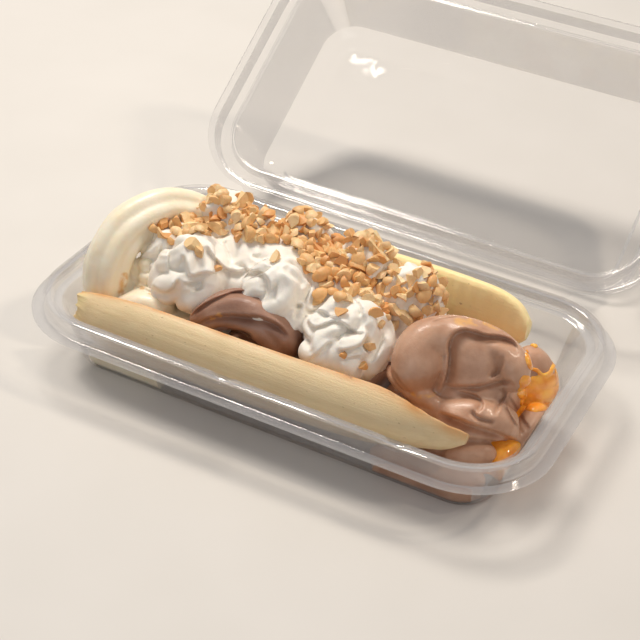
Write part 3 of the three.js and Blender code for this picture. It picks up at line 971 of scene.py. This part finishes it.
# %% [markdown]
# The left scoop is a melted mound with one broad ridged hoop that rises over its left end, and a
# short coil at its foot. It could be sculpted, but a rope along a few measured places is easier to
# correct. Small lumps fill the corner where hoop and mound have melted together.

# %% Vanilla soft serve
HOOP = [
    (-83.5, -27, 14, 8.6), (-86.5, -25, 26, 9.0), (-87.5, -20, 36, 9.2), (-86.0, -12, 43.5, 9.2),
    (-82.0, -3, 47.5, 9.0), (-76.0, 7, 48.5, 8.6), (-67.0, 15, 45, 8.0), (-58.0, 20, 36, 7.0),
]
INNER_COIL = [(-79, -31.5, 14, 5.0), (-72, -28.5, 21, 7.0), (-63, -26.5, 24, 7.4), (-54, -26.5, 21, 6.5)]
MELTED_LUMPS = [
    (-72, -15, 26.5, 5.0), (-71, -21, 25.5, 4.0), (-67, -11, 29, 5.0), (-74, -10, 29, 4.0),
    (-69, -25, 24, 3.4), (-76, -13, 31, 4.6), (-75, -8, 37, 4.6), (-73, -15, 34.5, 3.2),
    (-71, -18, 31, 3.4), (-79, -14, 29, 4.6), (-80, -20, 25, 4.6),
]

# Folds in the picture: rise, drop, their widths in pixels, and the line's points.
VANILLA_FOLDS = [
    (0.3, 1.6, 6, 3, (131, 282), (140, 287), (150, 291), (160, 296)),
    (0.3, 1.2, 4, 3, (137, 268), (143, 272), (150, 271)),
]
# Caramel-tan spots on the vanilla are painted shade: in the gap between hoop and coil, and along a fold.
VANILLA_PAINTED_SHADE = [(4.5, (125, 276), (123, 284), (121, 292)), (3, (142, 288), (150, 293))]

vanilla = merged(
    "vanilla_swirl",
    [
        mound(-62, -2, 25.5, 34, SCOOP_TOP, MOUND_FLOOR),
        toe(-82, -46, 11),
        rope(INNER_COIL, ridges=4, depth=0.06, sides=84, steps=110, crease=1.5),
        rope(HOOP, ridges=6, depth=0.085, sides=126, steps=160, twist=0.35, crease=1.3, phase=0.6),
    ] + [lump(*place) for place in MELTED_LUMPS],
    vanilla_cream, ICE_VOXEL, 2,
)
press_folds(vanilla, VANILLA_FOLDS)
settle(vanilla)
mark_spots(vanilla, "stain", VANILLA_PAINTED_SHADE)
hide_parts("soft_serve_vanilla")
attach(vanilla, "tray")
print("vanilla", triangles(vanilla), "triangles")

# %% [markdown]
# Little shows of the middle scoop: an arch of chocolate behind the front banana, painted darker than
# the right scoop's as shade. One thick rope with shallow ridges gives the arch, and pressed lines
# give the layers on it.

# %% Middle chocolate soft serve
MIDDLE_ARCH = [
    (-42, -30.5, 22, 4.0), (-36, -28.5, 30.5, 6.2), (-27, -26.5, 36.5, 7.8), (-16, -25, 36.5, 8.4),
    (-7, -24.5, 31.5, 8.2), (0, -24, 24, 7.6),
]
MIDDLE_FOLDS = [
    (1.0, 2.6, 4, 4, (188, 318), (200, 307), (216, 298), (233, 292), (250, 291), (266, 292)),
    (1.3, 3.0, 6, 6, (193, 326), (207, 319), (225, 315), (244, 316), (262, 318), (278, 325), (290, 338)),
    (0.2, 5.0, 3, 6, (218, 333), (226, 331), (237, 330), (248, 333), (254, 340)),
    (0.5, 1.2, 4, 3, (205, 300), (222, 289), (240, 283)),
]
MIDDLE_STAINS = [(3, (212, 318), (220, 315))]

middle = merged(
    "chocolate_swirl_middle",
    [
        mound(0, -1, 33.5, 33, SCOOP_TOP, MOUND_FLOOR, depth=0.03),
        rope(MIDDLE_ARCH, ridges=5, depth=0.07, sides=128, steps=120, twist=0.2, crease=1.2),
    ],
    shaded_chocolate, ICE_VOXEL, 1,
)
press_folds(middle, MIDDLE_FOLDS)
settle(middle)
mark_spots(middle, "stain", MIDDLE_STAINS)
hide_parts("soft_serve_chocolate_middle")
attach(middle, "tray")
print("middle chocolate", triangles(middle), "triangles")

# %% [markdown]
# The right scoop is the largest. A band folds over a big lobe, a lower fold rests on the banana, and
# a paler lobe stands behind. Mounds give the masses, ropes the bands, and small smears the tongues
# against the end wall and under the banana.

# %% Right chocolate soft serve
FOLD = [
    (55.5, -25.5, 29.5, 8.4), (51.0, -24.0, 38.5, 9.8), (50.5, -18.5, 45.0, 9.0),
    (57.0, -12.0, 48.2, 7.4), (68.0, -9.5, 48.8, 6.8), (78.0, -9.5, 46.6, 6.6), (84.5, -11.5, 41.0, 6.4),
    (85.0, -13.5, 34.5, 5.6),
]
LOWER_FOLD = [
    (46, -25, 18, 5.6), (56, -27, 21, 6.8), (68, -27.5, 24.5, 7.8), (79, -25, 27, 8.0),
    (86, -21.5, 24.5, 6.6), (91, -19.5, 19, 4.8),
]
WALL_SMEAR = [(90.5, -24, 13, 3.6), (92, -14, 16.5, 4.8), (92.5, -4, 18, 4.6), (92.5, 4, 17, 3.4)]
FOOT = [(70, -36, 14, 4.0), (78, -34.5, 16.5, 4.4), (84, -32, 17.5, 4.2), (87.5, -29, 16.5, 3.0)]
LEFT_TIP = [
    (38, -20, 31.5, 1.6), (43, -24, 31.5, 3.2), (50, -27, 31, 3.8), (58, -29, 30, 3.4),
    (66, -30.5, 29, 2.6),
]
RIGHT_FOLDS = [
    (1.4, 3.6, 7, 7, (437, 397), (443, 386), (447, 372), (448.5, 358), (448.5, 344), (454, 334),
     (464, 329.5), (476, 332), (488, 335), (501, 336), (511, 339.5), (517, 346), (519, 356)),
    (0.6, 3.2, 5, 5, (444, 384.5), (456, 386), (468, 386), (482, 385), (496, 381), (508, 380),
     (517, 388)),
    (0.5, 1.6, 5, 5, (504, 356), (502.5, 366), (498, 374), (489, 379)),
    (0.9, 2.2, 4, 4, (455, 391), (468, 392.5), (478, 397), (483, 404), (480, 411), (474, 414)),
    (0.9, 2.4, 3, 3.5, (497, 388), (504, 388), (506, 396), (500, 405), (497, 416)),
    (0.8, 1.8, 2.6, 3, (508, 394), (517, 408), (525, 421), (531, 430)),
    (0.8, 1.8, 2.6, 3, (505, 404), (513, 419), (523, 432)),
    (0.6, 2.2, 4, 4, (472, 409), (478, 416), (487, 419), (495, 421)),
    (1.2, 4.6, 6, 7, (438, 411), (458, 419), (478, 426), (497, 432), (513, 439), (523, 444)),
    (0.6, 1.4, 4, 3, (389, 366), (398, 378), (406, 388), (416, 395)),
    (0.4, 1.0, 3, 3, (430, 322), (445, 318), (462, 316)),
]
RIGHT_STAINS = [
    (4.5, (458, 321), (464, 323)), (4.0, (470, 321), (477, 323)), (4.5, (486, 322), (497, 327)),
    (2.5, (413, 394), (424, 397), (434, 394)),
]

right = merged(
    "chocolate_swirl_right",
    [
        mound(60, -3, 23.5, 33, SCOOP_TOP, MOUND_FLOOR, depth=0.03),
        mound(68, -9, 18, 17, 54, 20, waves=3, dome=True),
        mound(83, 13, 11, 11.5, 36, 16, waves=3, square=2, dome=True),
        toe(44, 87, 14),
        smear(WALL_SMEAR),
        smear(FOOT),
        rope(FOLD, ridges=4, depth=0.035, sides=96, steps=160, crease=1.6),
        rope(LOWER_FOLD, ridges=4, depth=0.05, sides=108, steps=140, crease=1.4),
        smear(LEFT_TIP),
    ],
    chocolate_cream, ICE_VOXEL, 1,
)
press_folds(right, RIGHT_FOLDS)
settle(right)
mark_spots(right, "stain", RIGHT_STAINS)
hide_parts("soft_serve_chocolate_right")
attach(right, "tray")
print("right chocolate", triangles(right), "triangles")

# %% [markdown]
# ## Caramel sauce
# The sauce has run down between the ice cream and the end wall and stands there in a pool. Light
# that crosses it comes out amber, which the subsurface share and a faint glow stand for.

# %% Caramel
caramel_sauce = Finish("caramel", Roughness=0.06, Coat_Weight=1.0, Coat_Roughness=0.02,
                       Subsurface_Weight=0.45, Subsurface_Scale=0.004,
                       Subsurface_Radius=(1.0, 0.45, 0.12), Emission_Strength=0.1)
thickness = caramel_sauce.noise(0.16, 3)
amber = caramel_sauce.mix(thickness.between(0.35, 0.7), rgb(252, 178, 68), rgb(222, 128, 34))
caramel_sauce.feed("Base Color", amber)
caramel_sauce.feed("Emission Color", amber)
caramel_sauce.bump(thickness + caramel_sauce.noise(0.32, 2) * 0.4, 0.5)
caramel_sauce.report()

caramel = merged(
    "caramel_pool",
    [mound(86.6, -5, 9.4, 27, 18.4, 5.8, depth=0.05)],
    caramel_sauce, CREAM_VOXEL, 3,
)
write_points(caramel, kept_inside(read_points(caramel)))
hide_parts("caramel_sauce")
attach(caramel, "tray")
print("caramel", triangles(caramel), "triangles")

# %% [markdown]
# More sauce has run over the pale lobe at the back on its way to the pool. It is a film on the ice
# cream's own surface, so it gets a piece of its own.

# %% Caramel film
FILM_SINKS = 0.5
FILM_FLOOR = 0.9
CARAMEL_STROKES = [
    (3.0, (527, 338), (531, 343), (536, 346)),
    (2.8, (527, 352), (528, 361), (531, 368), (537, 370)),
    (3.6, (548, 349), (553, 356), (557, 366), (558, 378), (556, 390)),
    (2.6, (537, 370), (543, 375), (549, 373), (553, 366)),
    (8.0, (526, 382), (537, 383), (549, 382), (555, 380)),
    (8.0, (524, 393), (536, 395), (552, 394)),
    (7.0, (526, 404), (536, 406), (548, 404)),
]


def film_over(piece, strokes, thick):
    """A film of sauce over the surface, along strokes in the picture, thick in the middle."""
    points = read_points(piece)
    seen = seen_at(points)
    facing, towards = facing_camera(piece, points)
    share = np.zeros(len(points))
    for radius, *line in strokes:
        away, _ = line_reach(seen, line)
        share = np.maximum(share, 1 - (away / radius) ** 2)
    share[facing <= 0] = 0
    drop_hidden(piece, points, towards, share, 0)
    faces = [polygon.vertices[:] for polygon in piece.data.polygons]
    kept = [face for face in faces if min(share[list(face)]) > 0]
    used = sorted({corner for face in kept for corner in face})
    place = {old: new for new, old in enumerate(used)}
    count = len(used)
    normals = read_rows(piece, "normal")[used]
    lift = (thick + FILM_SINKS) * np.sqrt(share[used]) - FILM_SINKS
    top = points[used] + normals * lift[:, None]
    bottom = points[used] - normals * FILM_FLOOR
    faces = [tuple(place[corner] for corner in face) for face in kept]
    edges = dict.fromkeys(pair for face in faces for pair in zip(face, face[1:] + face[:1]))
    walls = [(b, a, a + count, b + count) for a, b in edges if (b, a) not in edges]
    floor_faces = [tuple(corner + count for corner in reversed(face)) for face in faces]
    return np.vstack([top, bottom]), faces + floor_faces + walls


film = merged(
    "caramel_film",
    [film_over(right, CARAMEL_STROKES, 1.0)],
    caramel_sauce, FILM_VOXEL, 8,
)
write_points(film, kept_inside(read_points(film)))
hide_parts("soft_serve_chocolate_right")
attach(film, "tray")
print("caramel film", triangles(film), "triangles")

# %% [markdown]
# ## Whipped cream
# Cream from a star nozzle stands in rosettes: deep ridges that twist up in ruffled tiers to a soft
# tip. Each rosette is a fan of ridged ropes that climb and sway round the tip. The rosettes and the
# bed under them are run together, and then the folds of the front ones are pressed in.

# %% Rosettes
GAP = 0.35
CREAM_BASE = SCOOP_TOP + GAP
STAR_POINTS = 6
ROPE_STATIONS = 10

# Rosettes: x, y, radius, height, twist, the tip's lean in x and y, and whether the ridges are soft.
ROSETTES = [
    (-52.5, -14, 17.5, 29, 1.0, 1, 2, True), (-66, 0, 12, 25, 0.9, 2, 3, False),
    (-68, -8, 10.5, 24, 0.9, -1, 1, False), (-56, 16, 16, 33.5, 1.0, 2, 2, False),
    (-38, 9, 15, 32, 0.8, 0, 2, False), (-13.5, -14, 17.5, 32, 1.0, 0, 1, True),
    (-20, 18, 16, 33.5, 1.2, 2, 0, False), (19.5, -18.5, 19.5, 27, 1.0, 0, 4, True),
    (8, 15, 17, 33, 1.1, 1, 1, False), (30, 13, 15.5, 30, 1.3, 1, 1, False),
]
print("rosettes", len(ROSETTES))


def rosette(number, x, y, radius, height, twist, lean_x, lean_y, soft):
    """Star-ridged ropes that climb from the foot, fanned round the tip and swaying as they rise."""
    fan = []
    for k in range(STAR_POINTS):
        start = 2 * math.pi * k / STAR_POINTS + 0.7 * number
        stations = []
        for i in range(ROPE_STATIONS):
            t = i / (ROPE_STATIONS - 1)
            thick = radius * (0.4 - 0.25 * t**1.4)
            line = (radius * 0.98 - thick) * (1 - t**2.2) ** 0.7
            sway = 0.26 * math.sin(2 * math.pi * 1.5 * t + 2.1 * k + number)
            angle = start + twist * 1.1 * t + sway
            rise = 0.4 * thick + (height - 0.4 * thick - 1.2) * t
            stations.append((
                x + line * math.cos(angle) + lean_x * t * t,
                y + line * math.sin(angle) + lean_y * t * t,
                CREAM_BASE + rise,
                thick,
            ))
        depth, ripple = (0.1, 0.0) if soft else (0.22, 0.05)
        fan.append(rope(stations, 4, depth, sides=48, steps=70, twist=1.4, ripple=ripple, phase=k))
    return fan


# %% [markdown]
# The front rosettes show their folds clearly, and each line follows one of them. The surface rises
# on the left of the line, so the way in which its points run tells which layer lies on top.

# %% Folds of the cream
CREAM_FOLDS = [
    (1.5, 3.6, 6, 8, (180, 256.5), (183, 255.5), (185.5, 261), (187, 268), (188.5, 274), (193.5, 276),
     (199.5, 274), (206, 272.5), (212.5, 273), (221, 268.5)),
    (1, 3.2, 3, 6, (183, 282), (187, 283), (192.5, 282), (198.5, 280.5), (202, 280.5), (203, 284.5),
     (201, 289), (195.5, 291.5), (190, 291.5)),
    (0.8, 2.2, 4, 6, (168, 254.5), (163, 254), (159, 253.5)),
    (1, 2.2, 5, 7, (186.5, 272.5), (180, 272.5), (173, 271.5), (168.5, 268), (168, 261), (168, 254),
     (167.5, 247)),
    (1.2, 3.6, 5, 7, (152, 284.5), (158.5, 290.5), (165.5, 292.5), (171.5, 289), (175, 283.5),
     (178, 278)),
    (1.2, 3.2, 5, 6, (207, 244.5), (211.5, 253.5), (217.5, 261), (223.5, 267), (230.5, 270.5),
     (238.5, 272), (244.5, 270.5)),
    (1, 2.6, 3, 9, (232, 264), (228.5, 256), (225.5, 248), (222, 240)),
    (0.8, 1.6, 3, 5, (245, 267), (238.5, 267.5), (232, 265.5)),
    (1.5, 4.2, 5, 9, (245.5, 264), (247, 269.5), (252.5, 271), (259.5, 271), (263.5, 274), (267, 279),
     (269, 284.5), (268.5, 291), (267, 295)),
    (0.8, 1.8, 4, 7, (271.5, 265.5), (265, 262), (258, 260.5), (252.5, 257), (252.5, 253)),
    (0.8, 2.4, 6, 8, (301, 289.5), (297.5, 281.5), (291.5, 277), (286, 273), (281, 268.5)),
    (0.6, 4, 3, 4, (295.5, 305.5), (299.5, 304), (303, 305)),
    (0.4, 0.8, 4, 4, (277.5, 282.5), (277, 292), (276, 302.5)),
    (0.6, 2, 4, 4, (293, 319), (295, 313), (295, 306)),
    (1.2, 2.4, 5, 4, (305, 306.5), (310.5, 310), (318.5, 310.5), (324.5, 312), (329, 316), (335.5, 317.5),
     (342.5, 320)),
    (1.2, 3.4, 4, 5, (307, 313), (308, 320), (311, 325.5), (315.5, 327), (322, 325), (328, 322.5),
     (334.5, 321), (342, 322.5), (347.5, 326.5), (353.5, 331), (360, 332.5), (365, 332)),
    (0.8, 1.8, 5, 5, (358.5, 335), (352, 334), (346, 334.5), (341, 337.5), (338, 342.5)),
    (1.2, 3, 5, 6, (297.5, 328), (300.5, 332.5), (306, 335.5), (310, 340), (311, 345.5), (308.5, 351)),
    (0.9, 1.9, 4, 5, (306.5, 360.5), (313, 356.5), (319.5, 351.5), (325, 345.5), (329, 342.5),
     (333, 340)),
    (1, 2.6, 5, 5, (337, 348.5), (342.5, 350), (349, 349), (355.5, 347.5), (361, 344.5), (364, 340),
     (367, 335)),
    (0.5, 1.5, 4, 4, (341, 359), (347.5, 358), (355.5, 356.5), (361.5, 355)),
    (1.2, 2.8, 3, 8, (368.5, 354), (363.5, 346.5), (365.5, 338.5), (367, 332.5), (363.5, 326.5)),
    (0.8, 2, 5, 6, (385, 333.5), (382.5, 341.5), (379, 351), (374.5, 359), (369.5, 363)),
    (1, 2, 4, 5, (356, 299.5), (360.5, 305), (362, 311), (361, 317.5)),
    (0.8, 2.2, 5, 5, (313, 283.5), (310.5, 291.5), (307.5, 298.5), (305, 305)),
]
print("folds of the cream", len(CREAM_FOLDS))

# %% [markdown]
# Whipped cream is matt white with soft shadows. Light travels a little way into it, which the
# subsurface share gives, and tiny air bubbles roughen it.

# %% Whipped cream finish
cream_finish = Finish("whipped_cream", Subsurface_Weight=0.3, Subsurface_Scale=0.004,
                      Subsurface_Radius=(1.0, 0.85, 0.7))
bubbles = cream_finish.noise(1.7, 4, 0.6)
drift = cream_finish.noise(0.08, 2).between(0.3, 0.7)
cream_finish.feed("Base Color", cream_finish.mix(drift, rgb(249, 243, 233), rgb(242, 235, 223)))
cream_finish.feed("Roughness", 0.5 + 0.15 * bubbles)
cream_finish.bump(bubbles, 0.12)
cream_finish.report()

# %% [markdown]
# The rosettes stand on a low bed, which also fills the gaps between them. Bed and ropes are run
# together, the folds are pressed in, and the cream is kept a little back from the clear sheet.

# %% Whipped cream
bed = mound(-15, 7, 55, 26, 52, CREAM_BASE, waves=7, square=2.4, dome=True)
cream = merged(
    "whipped_cream_rosettes",
    [bed] + [part for number, place in enumerate(ROSETTES) for part in rosette(number, *place)],
    cream_finish, CREAM_VOXEL, 1,
)
press_folds(cream, CREAM_FOLDS)
settle(cream, press=-0.3)
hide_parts("whipped_cream_with_peanuts")
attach(cream, "tray")
print("cream", triangles(cream), "triangles")

# %% [markdown]
# ## Chopped peanuts
# A chopped kernel keeps a bit of its round skin and shows flat cut faces. Nine such pieces are cut
# from an ellipsoid by a few planes. Geometry Nodes then sets them on the points where they landed,
# turned and scaled by values stored on those points, and makes them real.

# %% Nut pieces
NUT_SEED = 41
NUT_KINDS = 9
chance = random.Random(NUT_SEED)


def nut_piece(number):
    """One piece of a chopped kernel about one unit long, with flat cuts."""
    shape = bmesh.new()
    bmesh.ops.create_icosphere(shape, subdivisions=2, radius=0.55)
    bmesh.ops.scale(shape, vec=(1.15, 0.85, 0.75), verts=shape.verts)
    skin_share = shape.faces.layers.float.new("skin")
    for face in shape.faces:
        face[skin_share] = 1.0
    for _ in range(chance.choice((3, 4, 4))):
        normal = Vector([chance.gauss(0, 1) for _ in range(3)]).normalized()
        near = normal * chance.uniform(0.04, 0.22)
        cut = bmesh.ops.bisect_plane(
            shape, geom=shape.verts[:] + shape.edges[:] + shape.faces[:],
            plane_co=near, plane_no=normal, clear_outer=True,
        )
        edges = [item for item in cut["geom_cut"] if isinstance(item, bmesh.types.BMEdge)]
        bmesh.ops.edgeloop_fill(shape, edges=edges)
    bmesh.ops.recalc_face_normals(shape, faces=shape.faces)
    data = bpy.data.meshes.new(f"nut_piece_{number}")
    shape.to_mesh(data)
    shape.free()
    return data


nut_kinds = bpy.data.collections.new("nut_kinds")
for number in range(NUT_KINDS):
    kind = bpy.data.objects.new(f"nut_kind_{number}", nut_piece(number))
    nut_kinds.objects.link(kind)

# %% [markdown]
# The nuts were scattered by hand: a thick layer along the top, and some that rolled to the front.
# Those that stand out in the picture are placed one by one, through the camera. The others are
# tried at random, and a try counts where cream lies under it and no other nut is near.

# %% Where the nuts landed
NUT_TRIES = 7000
NUT_SPACING = 2.35
NUT_SEAT = 0.2
LOWEST_CREAM = 36
HIGH_ABOVE = 200
ROW_START = -72
ROW_LENGTH = 120
ROW_WIDTH = 19
SMALLEST_NUT = 4.4
NUT_SPREAD = 3.4
LOWEST_NUTS = [
    (60, 245), (150, 235), (185, 240), (215, 232), (240, 238), (262, 243), (285, 243), (300, 258),
    (325, 288), (350, 297), (385, 318), (404, 326), (460, 330),
]
BARE_PEAKS = [(232, 186, 15), (409, 269, 13)]
PLACED_NUTS = [
    (159, 215, 6.5), (149, 229.5, 5.5), (157.5, 231, 6), (166, 236, 4.6), (172.5, 241.5, 5),
    (184.5, 232.5, 7), (192.5, 245.5, 6.6), (201, 250.5, 6.2), (205.5, 234, 6.2), (214, 222, 6.6),
    (228.5, 233, 7), (238, 240, 5.6), (216, 269.5, 4.4), (263, 245, 7), (275, 258.5, 5.6),
    (287.5, 241.5, 6), (315, 246.5, 6.5), (304, 256.5, 5), (299.5, 264, 4.4), (306.5, 271.5, 5.2),
    (318, 298.5, 6.2), (321, 296, 6.6), (333, 293.5, 4.8), (341, 300, 5.6), (349, 290.5, 6),
    (349, 301, 5), (342, 313.5, 6.2), (364, 291.5, 5.6), (373.5, 315, 6.2), (385, 305.5, 6.6),
    (381, 324, 4.8), (393, 324, 4.8), (372, 345.5, 5.4), (342.5, 356, 4.2), (359.5, 365.5, 4.8),
]


def under_pixel(surface, u, v):
    """The point and normal of the surface that the picture shows at a pixel."""
    slope = ((u - IMAGE / 2) / PIXELS_PER_SLOPE, (IMAGE / 2 - v) / PIXELS_PER_SLOPE, -1.0)
    hit, normal, _, _ = surface.ray_cast(CAMERA_PLACE, Vector(camera_turn @ slope))
    return (None, None) if hit is None else (np.array(hit) / MM, np.array(normal))


surface = surface_of(cream)
landed = []
for u, v, size in PLACED_NUTS:
    spot, normal = under_pixel(surface, u, v)
    if spot is not None:
        spot = spot + NUT_SEAT * size * normal
        landed.append((*spot, size, tuple(normal)))
for _ in range(NUT_TRIES):
    along = chance.random()
    across = (chance.random() + chance.random() + chance.random()) / 1.5 - 1
    x = ROW_START + ROW_LENGTH * along + 6 * (chance.random() - 0.5)
    y = 8 - 2 * along + ROW_WIDTH * across
    size = SMALLEST_NUT + NUT_SPREAD * chance.random() ** 1.5
    hit, normal, _, _ = surface.ray_cast(Vector((x, y, HIGH_ABOVE)) * MM, Vector((0, 0, -1)))
    if hit is None or hit.z / MM < LOWEST_CREAM:
        continue
    u, v = seen_at(np.array([hit]) / MM)[0]
    bare = any(math.hypot(u - a, v - b) < radius for a, b, radius in BARE_PEAKS)
    if bare or v > np.interp(u, *zip(*LOWEST_NUTS)):
        continue
    if all(math.hypot(x - other[0], y - other[1]) > NUT_SPACING for other in landed):
        landed.append((x, y, hit.z / MM + NUT_SEAT * size, size, tuple(normal)))
print("nuts", len(landed))

# %% [markdown]
# The point cloud carries three values: how each piece is turned, how large it is and how toasted.

# %% Nut points
nut_points = bpy.data.meshes.new("nut_points")
nut_points.from_pydata([(x * MM, y * MM, z * MM) for x, y, z, _, _ in landed], [], [])
turns, sizes, toasts = [], [], []
for x, y, z, size, normal in landed:
    lean = Vector((0, 0, 1)).rotation_difference(Vector(normal).lerp(Vector((0, 0, 1)), 0.4))
    tumble = Matrix.Rotation(chance.uniform(0, 6.28), 3, "Z") @ Matrix.Rotation(chance.gauss(0, 0.7), 3, "X")
    turns.extend((lean.to_matrix() @ tumble).to_euler())
    sizes.append(size * MM)
    toasts.append(chance.random())
store(nut_points, "turn", turns, "FLOAT_VECTOR", "vector")
store(nut_points, "size", sizes)
store(nut_points, "toast", toasts)
print("nut points", len(nut_points.vertices))

# %% [markdown]
# Roasted peanuts run from pale tan to orange brown. The toast value picks a tone for each piece, and
# noise darkens it in uneven patches.

# %% Nut finish
nut_finish = Finish("chopped_peanut", Roughness=0.5, Subsurface_Weight=0.1, Subsurface_Scale=0.002)
toast = nut_finish.mask("toast")
mottle = nut_finish.noise(0.45, 4, 0.6)
skinned = nut_finish.mask("skin")
tone = nut_finish.mix(toast.between(0.05, 0.75), rgb(246, 217, 168), rgb(234, 190, 130))
tone = nut_finish.mix(toast.between(0.72, 1.0), tone, rgb(216, 152, 88))
tone = nut_finish.mix(skinned * (0.15 + 0.45 * toast), tone, rgb(216, 156, 92))
tone = nut_finish.mix(mottle.between(0.5, 0.75) * 0.5, tone, rgb(200, 134, 70))
nut_finish.feed("Base Color", tone)
nut_finish.bump(mottle, 0.25)
nut_finish.report()

# %% [markdown]
# The tree has a size and a seed as its inputs. The seed picks one kind of nut for each point. The
# nuts are made real and dressed at the end of the tree, because only real faces can be exported.

# %% Nuts by Geometry Nodes


def nut_tree():
    """Sets one kind of nut on each point, turned and sized by the point's own values."""
    tree = bpy.data.node_groups.new("scatter nuts", "GeometryNodeTree")
    for name, kind in (("Geometry", "Geometry"), ("Size", "Float"), ("Seed", "Int")):
        tree.interface.new_socket(name, in_out="INPUT", socket_type="NodeSocket" + kind)
    tree.interface.new_socket("Geometry", in_out="OUTPUT", socket_type="NodeSocketGeometry")
    given = tree.nodes.new("NodeGroupInput")
    points, size, seed = (Level(tree, given.outputs[name]) for name in ("Geometry", "Size", "Seed"))
    kinds = add_node(tree, "GeometryNodeCollectionInfo", Collection=nut_kinds,
                     Separate_Children=True, Reset_Children=True)
    turned = add_node(tree, "GeometryNodeInputNamedAttribute", {"data_type": "FLOAT_VECTOR"}, Name="turn")
    sized = add_node(tree, "GeometryNodeInputNamedAttribute", {"data_type": "FLOAT"}, Name="size")
    kind = add_node(tree, "FunctionNodeRandomValue", {"data_type": "INT"}, output=2,
                    Min=0, Max=NUT_KINDS - 1, Seed=seed)
    placed = add_node(tree, "GeometryNodeInstanceOnPoints", Points=points, Instance=kinds,
                      Instance_Index=kind, Pick_Instance=True, Scale=sized * size,
                      Rotation=add_node(tree, "FunctionNodeEulerToRotation", _0=turned))
    real = add_node(tree, "GeometryNodeRealizeInstances", _0=placed)
    dressed = add_node(tree, "GeometryNodeSetMaterial", Geometry=real, Material=nut_finish.material)
    tree.links.new(dressed.socket, tree.nodes.new("NodeGroupOutput").inputs[0])
    return tree


def grown(name, base, tree, **inputs):
    """Runs a Geometry Nodes tree on a mesh and keeps the result as a plain mesh."""
    piece = linked(name, base)
    modifier = piece.modifiers.new(tree.name, "NODES")
    modifier.node_group = tree
    for item in tree.interface.items_tree:
        if item.name in inputs:
            modifier[item.identifier] = inputs[item.name]
    made_plain(piece)
    return piece


nuts = grown("chopped_peanuts", nut_points, nut_tree(), Size=1.0, Seed=NUT_SEED)
nuts.data.shade_smooth()
nuts.data.set_sharp_from_angle(angle=math.radians(35))
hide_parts("whipped_cream_with_peanuts")
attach(nuts, "tray")
print("nuts", triangles(nuts), "triangles")
